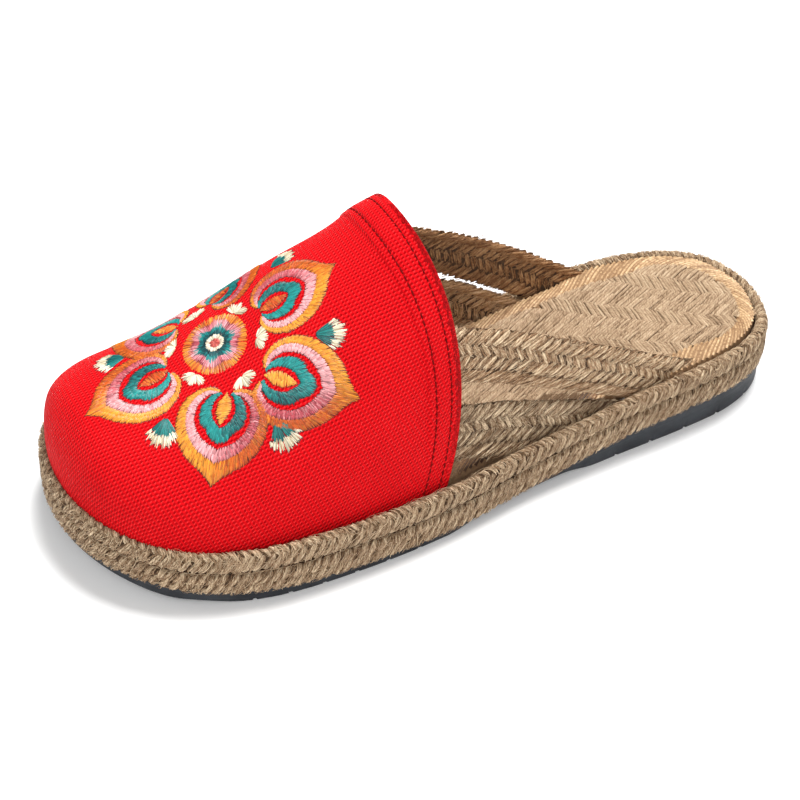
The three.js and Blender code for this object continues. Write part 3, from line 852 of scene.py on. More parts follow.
# Thin fibres that lie over the strands, roughly along them
def stray_fibres(surface, columns, length, count, lift, rng, side=1):
    groups = []
    t = np.linspace(0, 1, FIBRE_STATIONS)
    for column in columns:
        reach = column["high"] - column["low"]
        size = math.hypot(reach, column["lean"])
        angle = math.atan2(reach, column["lean"]) + rng.normal(0, FIBRE_STRAY, (count, 1))
        angle = angle + rng.normal(0, FIBRE_BEND, (count, 1)) * (t - 0.5)
        span = size * rng.uniform(*FIBRE_SPAN, (count, 1))
        along = rng.uniform(0, length, (count, 1)) + np.cos(angle) * span * (t - 0.5)
        over = column["low"] + reach * rng.uniform(*FIBRE_PLACE, (count, 1))
        point, normal = surface(along, over + np.sin(angle) * span * (t - 0.5))
        rise = lift + rng.uniform(-FIBRE_LOOSE, FIBRE_LOOSE, (count, 1))
        rise = rise + FIBRE_ARCH * np.sin(math.pi * t)
        lines = point + side * normal * rise[..., None]
        widths = FIBRE_RADIUS * rng.uniform(*FIBRE_THICKNESS, (count, 1)) + 0 * t
        seeds = np.clip(rng.normal(*FIBRE_TONE, count), *FIBRE_TONE_LIMITS)
        groups.append((lines, side * normal, widths, widths, seeds))
    return joined(groups)


# Closed sheet round the rim, which stands for the solid behind a side row's strands; its
# dark jute is painted shade in the gaps between them
def rim_backing(node, surface, size):
    turn = np.linspace(0, RIM_LENGTH, BACKING_TURNS, endpoint=False)
    over = np.linspace(0, size, BACKING_ROWS)
    points, _ = surface(*np.meshgrid(turn, over, indexing="ij"))
    piece = add_grid(node + "_backing", points, SHADED_BACKING, rows=True)
    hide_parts(node)


# Rows of strands: where they lie over the surface, how far they lean along it, where they
# start, and the width, bulge and tone of their yarns
def strand_table(*rows):
    return table("low high lean phase wide bulge tone", *rows)


SIDE_PITCH = 3.3
RING_COLUMNS = strand_table(
    (0.6, 6.4, -4.2, 0.0, 1.08, 0.45, 0.0),
    (5.7, 11.8, 4.4, 0.5, 1.12, 0.45, 0.0),
)
MIDSOLE_COLUMNS = strand_table(
    (0.6, 5.4, -3.4, 0.0, 1.05, 0.5, 0.0),
    (4.4, 9.3, -3.4, 0.4, 1.1, 0.55, 0.0),
)
STRAND_DEPTH = -0.95
BACKING_DEPTH = -1.15
BACKING_TURNS = 360
BACKING_ROWS = 24
FIBRE_LIFT = 0.75

# The midsole's backing runs on inwards over and under the sole
MIDSOLE_WIDTH = 1.3
MIDSOLE_BACKING = [dict(inset=7.0, height=0.0), *MIDSOLE_SECTION, dict(inset=7.0, height=0.98)]
SIDE_ROWS = table(
    "name section backing columns sizes",
    ("side_braid", RING_SECTION, RING_SECTION, RING_COLUMNS, (RING_WIDTH, RING_FOOT, RING_HEIGHT)),
    ("midsole", MIDSOLE_SECTION, MIDSOLE_BACKING, MIDSOLE_COLUMNS, (MIDSOLE_WIDTH, 0, MIDSOLE_HEIGHT)),
)


def make_sides():
    rng = np.random.default_rng(11)
    for row in SIDE_ROWS:
        surface, size = rim_surface(row["backing"], *row["sizes"], BACKING_DEPTH)
        rim_backing(row["name"], surface, size)
        surface, _ = rim_surface(row["section"], *row["sizes"], STRAND_DEPTH)
        yarns = strand_yarns(surface, row["columns"], RIM_LENGTH, SIDE_PITCH, 0.0, rng)
        # Both side rows' strands take the darker copy of the jute, as painted shade
        add_yarns(row["name"] + "_strands", yarns, SHADED_SIDE_JUTE)
    fibres = []
    for row in SIDE_ROWS:
        surface, _ = rim_surface(row["section"], *row["sizes"], STRAND_DEPTH)
        columns = row["columns"]
        fibres.append(stray_fibres(surface, columns, RIM_LENGTH, RIM_FIBRES, FIBRE_LIFT, rng))
    add_yarns("side_fibres", joined(fibres), JUTE, FIBRE_ARC)


# Rows of plaited strands over a strap's width, in shares of its half width
OUTER_COLUMNS = strand_table(
    (0.36, 0.98, 5.6, 0.0, 1.15, 0.6, 0.0),
    (-0.06, 0.48, -4.0, 0.5, 1.15, 0.6, 0.0),
    (-0.56, 0.06, 5.0, 0.2, 1.15, 0.6, 0.0),
)
INNER_COLUMNS = strand_table(
    (0.14, 0.72, 4.6, 0.0, 1.1, 0.45, 0.0),
    (-0.38, 0.24, -4.2, 0.5, 1.1, 0.45, 0.0),
    (-0.95, -0.28, 4.6, 0.2, 1.1, 0.45, 0.0),
)
# The selvedges' lower tone takes back the painted crest light that their lone yarn would get
SELVEDGE = strand_table((-1.02, -0.50, 9.0, 0.0, 1.0, 0.8, -0.5))
INNER_SELVEDGE = strand_table((0.60, 1.0, 9.0, 0.0, 1.0, 0.5, -0.42))
STRAP_PITCH = 3.2
SELVEDGE_PITCH = 1.35
STRAP_BACKING = 0.75
STRAP_EDGE = 0.9
STRAP_STATIONS = 120
STRAP_AROUND = 24
STRAP_FIBRE_LIFT = 0.85

# Which rows of strands lie on a strap: how many yarns each strand has, and on which face
STRAP_LAYERS = table(
    "columns pitch lift yarns side",
    (OUTER_COLUMNS, STRAP_PITCH, 0.25, 4, 1),
    (INNER_COLUMNS, STRAP_PITCH, 0.25, 4, -1),
    (SELVEDGE, SELVEDGE_PITCH, 0.3, 1, 1),
    (INNER_SELVEDGE, SELVEDGE_PITCH, 0.3, 1, -1),
)

# The straps: the foot's side that they cross, width as a share of the ball width, finish;
# the near lower and far upper straps take darker copies of the jute as painted shade, the far
# lower strap a lighter copy as painted light
STRAPS = table(
    "name side width finish",
    ("strap_lateral_upper", 1, 0.174, JUTE),
    ("strap_lateral_lower", 1, 0.188, SHADED_SIDE_JUTE),
    ("strap_medial_upper", -1, 0.168, SHADED_FAR_JUTE),
    ("strap_medial_lower", -1, 0.188, LIT_LOW_FAR_JUTE),
)


def scaled_columns(columns, half):
    return [dict(c, low=c["low"] * half, high=c["high"] * half) for c in columns]


def make_strap(strap):
    rng = np.random.default_rng(23)
    surface, length = strap_surface(strap)
    half = BALL_WIDTH * strap["width"] / 2
    turn = 2 * math.pi * np.arange(STRAP_AROUND) / STRAP_AROUND
    along, turns = np.meshgrid(np.linspace(0, length, STRAP_STATIONS), turn, indexing="ij")
    point, normal = surface(along, (half - STRAP_EDGE) * np.cos(turns))
    points = point + normal * (STRAP_BACKING * np.sin(turns))[..., None]
    # The strap's core sheet takes the dark backing jute, as painted shade between the strands
    backing = add_grid(strap["name"] + "_backing", points, SHADED_BACKING, columns=True)
    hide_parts(strap["name"])
    sets = []
    for layer in STRAP_LAYERS:
        columns = scaled_columns(layer["columns"], half)
        sizes = (length, layer["pitch"], layer["lift"])
        sets.append(strand_yarns(surface, columns, *sizes, rng, layer["yarns"], layer["side"]))
    add_yarns(strap["name"] + "_strands", joined(sets), strap["finish"])
    fibres = []
    for columns, side in ((OUTER_COLUMNS + SELVEDGE, 1), (INNER_COLUMNS, -1)):
        sizes = (length, STRAP_FIBRES, STRAP_FIBRE_LIFT)
        fibres.append(stray_fibres(surface, scaled_columns(columns, half), *sizes, rng, side))
    add_yarns(strap["name"] + "_fibres", joined(fibres), strap["finish"], FIBRE_ARC)


# Width of the slot between side row and insole, which takes vamp and straps
def slot_at(y):
    return STRAP_SLOT + (GAP - STRAP_SLOT) * smoothstep(SLOT_END, SLOT_CLOSED, y)


# A line round the insole at an inset from the slot's inner side
def insole_ring(turn, inset, height):
    _, y, _, _ = rim_frame(turn, RING_WIDTH)
    x, y, _, _ = rim_frame(turn, RING_WIDTH + slot_at(y) + inset)
    return np.stack([x, y, lift_at(y) + height], -1)


# Section of the binding from the slot inwards, as shares of its width and height
BINDING_SECTION = table(
    "inset height",
    (0.06, 0.10),
    (0.00, 0.60),
    (0.04, 0.88),
    (0.14, 0.98),
    (0.50, 0.99),
    (0.62, 0.94),
    (0.72, 0.82),
    (1.00, 0.66),
)

# Width of the binding that is seen, its ribs, and where it reaches over the slot
RIBBON_WIDTH = 5.4
RIBBON_STATIONS = 480
RIBBON_FOOT = 0.3
RIB_PITCH = 2.3
RIB_LEAN = -11.0
RIB_WIDTH = 0.5
RIB_DEPTH = 1.15
RIB_RISE = 0.75
RIB_ARCH = (0.04, 0.4)
RIB_START = 0.1
RIB_FLATNESS = 0.8
RIB_UNEVEN = dict(height=0.03, width=0.08)
RIB_STATIONS = 11
SLOT_COVERED = (62.0, 78.0)

# Shade under the near straps: how deep on footbed and ribs, and its front, rear and rim
STRAP_SHADE = 1.5
RIB_SHADE = 3.0
SHADE_FRONT = (-24.0, 2.0)
SHADE_REAR = (50.0, 34.0)
SHADE_ROOM = (17.0, 7.0)


# Share of shade on the footbed where the near straps stand close over it
def under_straps(x, y):
    return smoothstep(*SHADE_FRONT, y) * smoothstep(*SHADE_REAR, y) * (x > 0)


# How far the binding reaches out over the slot at the heel
def slot_cover(turn):
    _, y, _, _ = rim_frame(turn, RING_WIDTH)
    return (slot_at(y) - GAP) * smoothstep(*SLOT_COVERED, y)


# Up directions for lines that lie on the level
def upright(lines):
    return np.zeros_like(lines) + np.array([0, 0, 1.0])


def make_binding():
    rows = [[row["inset"] * BINDING_WIDTH, row["height"]] for row in BINDING_SECTION]
    turn = np.arange(RIBBON_STATIONS) / RIBBON_STATIONS
    top = BINDING_TOP - RING_FOOT - RIBBON_FOOT
    loops = []
    for inset, height in smooth_line(rows, False, 3):
        outward = slot_cover(turn) * (1 - inset / BINDING_WIDTH)
        loops.append(insole_ring(turn, inset - outward, RING_FOOT + top * height))
    points = np.array(loops)
    piece = add_grid("binding_ribbon", points, INSOLE_BACKING, columns=True)
    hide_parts("insole_binding")
    rng = np.random.default_rng(37)
    count = int(RIM_LENGTH / RIB_PITCH)
    t = np.linspace(0, 1, RIB_STATIONS)
    along = (np.arange(count) / count)[:, None] + RIB_LEAN * (t - 0.5) / RIM_LENGTH
    arch = RIB_RISE * arch_over(t, *RIB_ARCH)
    height = BINDING_TOP - RIB_DEPTH + arch + rng.normal(0, RIB_UNEVEN["height"], (count, 1))
    cover = slot_cover(along)
    lines = insole_ring(along, RIB_START - cover + (RIBBON_WIDTH + cover) * t, height)
    widths = RIB_WIDTH * (1 + rng.normal(0, RIB_UNEVEN["width"], (count, 1))) + 0 * t
    seeds = rng.random(count) - RIB_SHADE * under_straps(lines[:, 0, 0], lines[:, 0, 1])
    ribs = (lines, upright(lines), widths, widths * RIB_FLATNESS, seeds)
    add_yarns("binding_ribs", ribs, SATIN)


# The footbed's herringbone: its directions in plan, its pitch and columns
INSOLE_WAY = np.array([0.6, 0.8])
INSOLE_ACROSS = np.array([0.8, -0.6])
INSOLE_PITCH = 6.9
INSOLE_YARN = 2.2
INSOLE_COLUMNS = table(
    "width lean phase",
    (6.2, 0.6, 0.0),
    (5.7, -0.6, 0.3),
    (5.7, -0.6, 0.8),
)
INSOLE_STATIONS = 7
INSOLE_ARCH = (0.05, 0.5)
INSOLE_TAPER = 0.85
INSOLE_BULGE = 0.3
INSOLE_FLATNESS = 0.7
INSOLE_TONE = (0.5, 0.2)
INSOLE_UNEVEN = dict(place=0.08, height=0.06, width=0.07)
INSOLE_SINK = 1.3
SINK_ROOM = (RIBBON_WIDTH - 0.3, RIBBON_WIDTH - 1.5)
INSOLE_MIDDLE = np.array([0.0, 60.0])
INSOLE_TURNS = np.arange(720) / 720
INSOLE_HALF = 90.0
INSOLE_ROWS = np.arange(-22, 23)
INSOLE_LAP = 0.7
INSOLE_EDGE = 2.5
INSOLE_YARNS = 6
INSOLE_STAGGER = 0.18
INSOLE_YARN_RADIUS = 0.57
INSOLE_DEPTH = 0.42
BED_DEPTH = 0.75
BED_TURNS = 360


# Distance of flat places from the binding's outer edge, positive inside it
def insole_room(x, y):
    edge = insole_ring(INSOLE_TURNS, 0, 0)
    ahead = unit(np.roll(edge[:, :2], -1, axis=0) - np.roll(edge[:, :2], 1, axis=0))
    place = np.stack([x, y], -1)
    room = np.zeros(x.shape)
    for index in np.ndindex(x.shape[:1]):
        gap = place[index][..., None, :] - edge[:, :2]
        nearest = np.argmin(np.sum(gap ** 2, axis=-1), axis=-1)
        gap = place[index] - edge[nearest, :2]
        inward = np.stack([ahead[nearest, 1], -ahead[nearest, 0]], -1)
        room[index] = np.sum(gap * inward, axis=-1)
    return room


# Height of the footbed over a flat place, and the place's room inside the binding
def insole_height(x, y):
    room = insole_room(x, y)
    dish = INSOLE_DISH * smoothstep(BINDING_WIDTH, BINDING_WIDTH * 2, room)
    return lift_at(y) + BINDING_TOP - GAP - dish, room


def make_insole_backing():
    turn = np.arange(BED_TURNS) / BED_TURNS
    loops = []
    for height in (RING_FOOT, BINDING_TOP - 2):
        loops.append(insole_ring(turn, BINDING_THICKNESS, height))
    for inset in np.linspace(BINDING_WIDTH - 1, BINDING_WIDTH * 2, 12):
        loop = insole_ring(turn, inset, 0)
        loop[:, 2] = insole_height(loop[:, 0], loop[:, 1])[0] - BED_DEPTH
        loops.append(loop)
    rim = loops[-1]
    middle_x = rim[:, 0].mean()
    for share in (0.75, 0.5, 0.25, 0.0):
        loops.append(rim * [share, 1, 1] + [middle_x * (1 - share), 0, 0])
    points = np.array(loops)
    piece = add_grid("insole_backing", points, INSOLE_BACKING, columns=True)
    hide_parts("insole")


# Flat middles and spans of the footbed's strands, in slanting columns, with their room
def insole_strands():
    places, spans = [], []
    offset = -INSOLE_HALF
    while offset < INSOLE_HALF:
        for column in INSOLE_COLUMNS:
            width = column["width"]
            rows = (INSOLE_ROWS + column["phase"]) * INSOLE_PITCH
            place = INSOLE_ACROSS * (offset + width / 2) + INSOLE_WAY * rows[:, None]
            span = (INSOLE_ACROSS + INSOLE_WAY * column["lean"]) * (width + INSOLE_LAP)
            places.append(place + INSOLE_MIDDLE)
            spans.append(np.broadcast_to(span, place.shape))
            offset += width
    place, span = np.concatenate(places), np.concatenate(spans)
    room = insole_room(*place.T)
    kept = room > RIBBON_WIDTH - INSOLE_EDGE
    return place[kept], span[kept], room[kept]


def make_insole():
    make_insole_backing()
    rng = np.random.default_rng(31)
    place, span, room = insole_strands()
    shade = STRAP_SHADE * smoothstep(*SHADE_ROOM, room) * under_straps(*place.T)
    count = len(place)
    t = np.linspace(0, 1, INSOLE_STATIONS)
    swell = arch_over(t, *INSOLE_ARCH)
    taper = INSOLE_TAPER + (1 - INSOLE_TAPER) * swell
    groups = []
    for index in range(INSOLE_YARNS):
        beside = (index - (INSOLE_YARNS - 1) / 2) * INSOLE_YARN / 2 + INSOLE_STAGGER * (index % 2)
        way = INSOLE_WAY * beside * taper[:, None]
        spot = place[:, None] + span[:, None] * (t - 0.5)[:, None] + way
        spot = spot + rng.normal(0, INSOLE_UNEVEN["place"], (count, 1, 2))
        height, room = insole_height(spot[..., 0], spot[..., 1])
        sunk = INSOLE_SINK * smoothstep(*SINK_ROOM, room)
        lift = INSOLE_BULGE * swell - INSOLE_DEPTH - sunk
        lift = lift + rng.normal(0, INSOLE_UNEVEN["height"], (count, 1))
        lines = np.concatenate([spot, (height + lift)[..., None]], -1)
        uneven = 1 + rng.normal(0, INSOLE_UNEVEN["width"], (count, 1))
        widths = INSOLE_YARN_RADIUS * taper * uneven
        seeds = np.clip(rng.normal(*INSOLE_TONE, count), 0, 1) - shade
        groups.append((lines, upright(lines), widths, widths * INSOLE_FLATNESS, seeds))
    add_yarns("insole_strands", joined(groups), INSOLE_JUTE)


# Points across the vamp and rows along it; the inner skin takes every third row
VAMP_ANGLES = 241
VAMP_ROWS = 130
INNER_STEP = 3
HEM_ROW = 0.28
HEM_MARGIN = 1.3
EDGE_MARGIN = 0.1
EDGE_ROWS = 9
EDGE_ROUND = 1.2
VAMP_CENTRE = np.array([0, -50.0, 20.0])
HEM_SLOPE = (0.3, -0.5)
HEM_CLIMB = 3

# Stitch grooves by their distance from the rear edge
HEM_GROOVES = (3.1, 8.7)
GROOVE_DEPTH = 0.26
GROOVE_WIDTH = 0.5

# How much fuller the low wall is at the toe, from where along the shoe and under what height
TOE_FULLNESS = 2.3
TOE_SPAN = (-72.0, -112.0)
TOE_LEVEL = (52.0, 30.0)


# Normals of a grid of points, all turned away from the centre
def normals_away(points, centre):
    normals = unit(np.cross(np.gradient(points, axis=0), np.gradient(points, axis=1)))
    outward = np.sum(normals * (points - centre), axis=-1, keepdims=True)
    return normals * np.where(outward < 0, -1, 1)


# Rows of one skin of the vamp from the nose to the rear edge, with their distance from it
def vamp_skin(inset):
    angles = np.linspace(0, math.pi, VAMP_ANGLES)
    nose_y = side_lines(inset)["nose_y"]
    share = 1 - np.cos(np.linspace(0, math.pi / 2, VAMP_ROWS))
    hem = np.arange(HEM_WIDTH + 1, 0, -HEM_ROW)
    edge = edge_y(angles)
    rows = [nose_y + (edge - HEM_WIDTH - HEM_MARGIN - nose_y) * value for value in share]
    rows += [edge - back for back in hem] + [edge - EDGE_MARGIN]
    back = [edge - row for row in rows]
    points = np.array([last_point(row, angles, inset) for row in rows])
    wide_y = side_lines(inset - TOE_FULLNESS)["nose_y"]
    reach = [(edge - row) * (edge - wide_y) / (edge - nose_y) for row in rows]
    wide = np.array([last_point(edge - far, angles, inset - TOE_FULLNESS) for far in reach])
    toe = smoothstep(*TOE_SPAN, points[..., 1]) * smoothstep(*TOE_LEVEL, points[..., 2])
    return points + (wide - points) * toe[..., None], np.array(back)


# The walk over the cloth: its directions, the length of a step and the steps in each
WALK_DIRECTIONS = 180
WALK_STEP = 1.5
WALK_REACH = 64


# Walks out over the cloth from the rosette's middle in all directions
def walk_cloth(outer, out):
    faces = grid_faces(*outer.shape[:2])
    places = [tuple(p) for p in outer.reshape(-1, 3)]
    tree = BVHTree.FromPolygons(places, [tuple(f) for f in faces.tolist()])
    start, _, face, _ = tree.find_nearest(Vector(ROSETTE_MIDDLE))
    flat_out = out.reshape(-1, 3)
    up = unit(flat_out[faces[face]].mean(axis=0))
    ahead = unit(np.array([0, 1.0, 0]) - up * up[1])
    beside = np.cross(ahead, up)
    shape = (WALK_DIRECTIONS + 1, WALK_REACH + 1, 3)
    points, normals, headings = np.zeros(shape), np.zeros(shape), np.zeros(shape)
    for index in range(WALK_DIRECTIONS + 1):
        turn = 2 * math.pi * index / WALK_DIRECTIONS
        here, normal = np.array(start), up
        heading = math.cos(turn) * ahead + math.sin(turn) * beside
        points[index, 0], normals[index, 0], headings[index, 0] = here, normal, heading
        for stride in range(1, WALK_REACH + 1):
            found, _, face, _ = tree.find_nearest(Vector(here + heading * WALK_STEP))
            normal = unit(flat_out[faces[face]].mean(axis=0))
            heading = unit(np.array(found) - here + heading * 1e-6)
            heading = unit(heading - normal * (heading @ normal))
            here = np.array(found)
            points[index, stride], normals[index, stride] = here, normal
            headings[index, stride] = heading
    return points, normals, headings


# Flat places of points on the cloth, from the nearest place of the walk
def flat_places(points, walk):
    places, normals, headings = (grid[:-1].reshape(-1, 3) for grid in walk)
    tree = KDTree(len(places))
    for index, place in enumerate(places):
        tree.insert(place, index)
    tree.balance()
    flat = points.reshape(-1, 3)
    nearest = np.array([tree.find(point)[1] for point in flat])
    index, stride = np.divmod(nearest, WALK_REACH + 1)
    turn = 2 * math.pi * index / WALK_DIRECTIONS
    gap = flat - places[nearest]
    heading = headings[nearest]
    beside = np.cross(heading, normals[nearest])
    ahead = stride * WALK_STEP + np.sum(gap * heading, axis=1)
    aside = np.sum(gap * beside, axis=1)
    x = ahead * np.cos(turn) - aside * np.sin(turn)
    y = ahead * np.sin(turn) + aside * np.cos(turn)
    return np.stack([x, y], -1).reshape(*points.shape[:-1], 2)


# The canvas upper: outer skin, rolled rear edge, inner skin and the tucked-in feet
def make_vamp():
    outer, back = vamp_skin(VAMP_INSET)
    inner, _ = vamp_skin(VAMP_INSET + CANVAS_THICKNESS)
    out = normals_away(outer, VAMP_CENTRE)
    angles = np.linspace(0, math.pi, VAMP_ANGLES)
    climb = np.minimum(1, HEM_CLIMB * climb_at(angles))[None]
    step = HEM_STEP * smoothstep(*HEM_SLOPE, back - HEM_WIDTH) * climb
    for groove in HEM_GROOVES:
        step = step - GROOVE_DEPTH * np.exp(-((back - groove) / GROOVE_WIDTH) ** 2) * climb
    outer = outer + out * step[..., None]
    inner = inner - out * (step * 0.5)[..., None]
    half = (outer[-1] - inner[-1]) / 2
    middle = (outer[-1] + inner[-1]) / 2
    rolled = []
    for turn in np.linspace(0, math.pi, EDGE_ROWS)[1:-1]:
        row = middle + half * math.cos(turn)
        row[:, 1] += EDGE_ROUND * math.sin(turn) - EDGE_MARGIN
        rolled.append(row)
    rows = np.concatenate([outer, np.array(rolled), inner[::-INNER_STEP]])
    walk = walk_cloth(outer, out)
    flat = flat_places(outer, walk)
    edge = flat[-1:] + np.linspace(0, CANVAS_THICKNESS, len(rolled))[:, None, None]
    flat = np.concatenate([flat, edge, flat[::-INNER_STEP]])
    cloth = np.concatenate([flat, np.zeros(flat.shape[:2] + (1,))], -1)
    feet = []
    for side in (0, -1):
        foot = rows[:, side].copy()
        foot[:, 2] = lift_at(foot[:, 1]) + RING_FOOT
        feet.append(foot[:, None])
    points = np.concatenate([feet[0], rows, feet[1]], axis=1)
    cloth = np.concatenate([cloth[:, :1], cloth, cloth[:, -1:]], axis=1)
    piece = add_grid("vamp_canvas", points, CANVAS, layers=[("cloth", cloth)])
    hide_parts("vamp")
    return outer, out, back, walk


# Hem stitches
HEM_COLOUR = (120, 12, 12)
STITCH_PITCH = 2.5
STITCH_LENGTH = 1.9
STITCH_HEIGHT = 0.3
STITCH_DEPTH = 0.12
STITCH_RADIUS = 0.24
HEM_STATIONS = 6


# Short stitches along the hem, sunk into their groove
def make_hem_stitches(outer, out, back):
    lines, ups, seeds = [], [], []
    rng = np.random.default_rng(5)
    t = np.linspace(0, 1, HEM_STATIONS)
    arch = (STITCH_HEIGHT * np.sin(math.pi * t) - STITCH_DEPTH)[:, None]
    angle_places = np.arange(VAMP_ANGLES)
    for groove in HEM_GROOVES:
        row = np.argmin(np.abs(back[:, 0] - groove))
        places = run_lengths(outer[row])
        count = int(places[-1] / STITCH_PITCH)
        for start in np.arange(count) * places[-1] / count:
            here = np.interp(start + STITCH_LENGTH * t, places, angle_places)
            point, up = (
                np.stack([np.interp(here, angle_places, grid[row][:, k]) for k in range(3)], -1)
                for grid in (outer, out))
            lines.append(point + up * arch)
            ups.append(up)
            seeds.append(rng.random())
    lines = np.array(lines)
    widths = np.full(lines.shape[:2], STITCH_RADIUS)
    yarns = (lines, np.array(ups), widths, widths, np.array(seeds))
    tints = np.array([colour(*HEM_COLOUR)])
    add_yarns("hem_stitches", yarns, HEM_THREAD, tints=tints)


# The rosette: each petal from its root to its tip, as turn in degrees and reach in
# millimetres from the rosette's middle, measured on the cloth
ROSETTE_MIDDLE = np.array([-9.81, -71.13, 61.44])
PETALS = table(
    "root_turn root tip_turn tip dark leaf_dark",
    (4.5, 17.2, 6.0, 44.8, -1, 0.9),
    (73.0, 22.2, 60.5, 51.8, 1, 0.0),
    (107.5, 19.5, 122.5, 47.8, -1, 0.0),
    (186.5, 17.0, 182.0, 45.8, 1, 0.9),
    (250.0, 19.5, 231.0, 44.8, -1, 0.5),
    (287.0, 19.0, 313.0, 40.0, 1, 0.9),
)
PETAL_LENGTH = 30.0

# A petal darkens from its light to its dark side, and a little from the root to the tip
PETAL_HALF = 14.0
PETAL_MIDDLE = 14.0
PETAL_FADE = 60.0
PETAL_SHADE = (-0.3, 0.85)

# Half widths of a petal's lines along its length, from the root (0) to the tip
PETAL_LINES = dict(
    outer=table(
        "along half",
        (-0.7, 2.4), (-1.6, 5.0), (-0.6, 8.9), (2.3, 12.2), (6.5, 14.0), (11.0, 14.2),
        (16.0, 13.1), (19.8, 10.9), (22.8, 8.2), (25.0, 5.2), (27.2, 2.4), (30.0, 0.0),
    ),
    pink_outer=table(
        "along half",
        (-0.2, 2.6), (-0.5, 4.8), (0.2, 7.6), (2.9, 10.3), (7.0, 11.6), (12.3, 10.9), (17.0, 8.4),
        (20.4, 4.7), (22.8, 0.0),
    ),
    pink_inner=table(
        "along half",
        (0.2, 3.0), (1.0, 5.6), (3.4, 8.0), (6.6, 9.0), (9.8, 8.9), (13.5, 7.3), (16.6, 4.0),
        (18.6, 0.0),
    ),
    teal_outer=table(
        "along half",
        (0.0, 2.2), (0.9, 4.2), (3.5, 6.3), (7.5, 7.2), (10.8, 6.4), (12.7, 4.2), (15.4, 2.4),
        (16.4, 0.0),
    ),
    teal_inner=table(
        "along half",
        (0.3, 1.5), (1.4, 2.7), (3.2, 3.6), (6.0, 4.0), (8.8, 3.2), (10.6, 1.7), (11.3, 0.9),
        (11.8, 0.0),
    ),
    leaf=table(
        "along half",
        (0.0, 0.1), (2.2, 1.7), (5.5, 2.1), (8.2, 1.2), (9.9, 0.0),
    ),
)

# The bands between those lines, from the outer to the inner, with the stitches' spacing
BANDS = table(
    "outer inner light dark pitch",
    ("outer", "pink_outer", (246, 160, 44), (200, 84, 18), 0.34),
    ("pink_outer", "pink_inner", (250, 180, 182), (192, 78, 88), 0.36),
    ("teal_outer", "teal_inner", (26, 152, 147), (3, 58, 64), 0.32),
)

# The leaf in each petal: length round it, spacing, slant and colours of its stitches
LEAF_AROUND = 21
LEAF_STITCH = 0.36
LEAF_SLANT = np.array([0.9, 0])
LEAF_COLOURS = ((252, 170, 60), (206, 78, 20))

# How far and how dark the under-stitches look out round the bands
FRINGE = dict(reach=0.5, inner_share=0.6, fray=(0.3, 1.1), colour_share=0.2, depth=0.85)

# How unevenly a band's stitches lie: they run over its edges, slant and meet halfway
SHORTEST_STITCH = 0.3
STITCH_OVERRUN = (-0.12, 0.32)
STITCH_SKEW = 0.16
STITCH_SPLIT = (0.3, 0.7)
STITCH_LAP = 0.1

# How unevenly the threads are dyed
TINT_SPREAD = 0.22
TINT_TONE = (0.98, 0.2)
TINT_LIMITS = (0.4, 1.22)

# Height over the cloth and half width of the shining stitches and of those under them
TOP_STITCH = (0.36, 0.23)
UNDER_STITCH = (0.14, 0.17)

# Fans between the petals' tips, and cream bows between their roots
FANS = table(
    "root_turn root tip_turn tip",
    (38.5, 33.4, 38.0, 43.6),
    (87.5, 34.6, 89.8, 45.2),
    (151.5, 28.6, 146.0, 38.6),
    (216.0, 31.6, 211.5, 41.8),
    (272.0, 31.0, 272.0, 41.0),
    (335.0, 30.4, 338.0, 39.8),
)
FAN_SPREAD = 38.0
FAN = dict(
    round=0.2, scallops=3.5, scallop_depth=0.07, uneven=0.02, near=(-2.4, 0.8), far=(-0.9, 0.7),
    shade=0.3, under_near=0.3, under_far=0.35,
)
FAN_STITCH_HALF = 0.2
FAN_UNDER_COLOURS = ((6, 64, 68), (20, 30, 34))
FAN_UNDER_STITCH = (0.1, 0.17)
BOW_ROOT = 1.9
BOW_REACH = 4.2
BOW_SPREAD = 78.0
BOW_STITCHES = 30
BOW_COLOURS = ((250, 242, 218), (196, 178, 140))
BOW_STITCH = (0.36, 0.24)
BOW_UNDER_COLOURS = ((120, 60, 30), (90, 30, 20))
BOW_UNDER_STITCH = (0.12, 0.18)
FAN_LAYERS = table(
    "near far light dark count lift",
    (0.12, 0.72, (24, 140, 134), (4, 58, 62), 40, 0.32),
    (0.66, 1.0, (246, 238, 212), (206, 186, 146), 44, 0.24),
)
BOWS = table(
    "turn reach",
    (38.0, 16.2),
    (87.0, 18.6),
    (149.0, 13.8),
    (219.0, 15.8),
    (268.0, 18.4),
    (331.0, 13.4),
)
FLOWER_TURN = 10.0


# Lays flat rosette places onto the cloth
def cloth_map(walk):
    points, normals, _ = walk

    def lay(x, y, height):
        turn = np.mod(np.arctan2(y, x), 2 * math.pi) * WALK_DIRECTIONS / (2 * math.pi)
        stride = np.minimum(np.hypot(x, y) / WALK_STEP, WALK_REACH - 0.001)
        a, b = np.floor(turn).astype(int) % WALK_DIRECTIONS, np.floor(stride).astype(int)
        u, v = (turn - np.floor(turn))[..., None], (stride - b)[..., None]

        def read(grid):
            near = grid[a, b] * (1 - u) + grid[a + 1, b] * u
            far = grid[a, b + 1] * (1 - u) + grid[a + 1, b + 1] * u
            return near * (1 - v) + far * v

        normal = unit(read(normals))
        return read(points) + normal * height[..., None], normal

    return lay


def directions(angle):
    return np.stack([np.cos(angle), np.sin(angle)], -1)


def polar(turn, reach):
    return directions(math.radians(turn)) * reach


# Both sides of a petal line as one run of flat points, from root over the tip to root
def petal_run(name, count):
    rows = PETAL_LINES[name]
    half = [[row["along"], row["half"]] for row in rows]
    far = [[row["along"], -row["half"]] for row in rows[-2::-1]]
    line = smooth_line(half, False, 12)
    other = smooth_line([half[-1]] + far, False, 12)
    line = np.vstack([line, other[1:]])
    places = run_lengths(line)
    wanted = np.linspace(0, places[-1], count)
    return np.stack([np.interp(wanted, places, line[:, k]) for k in range(2)], -1), places[-1]


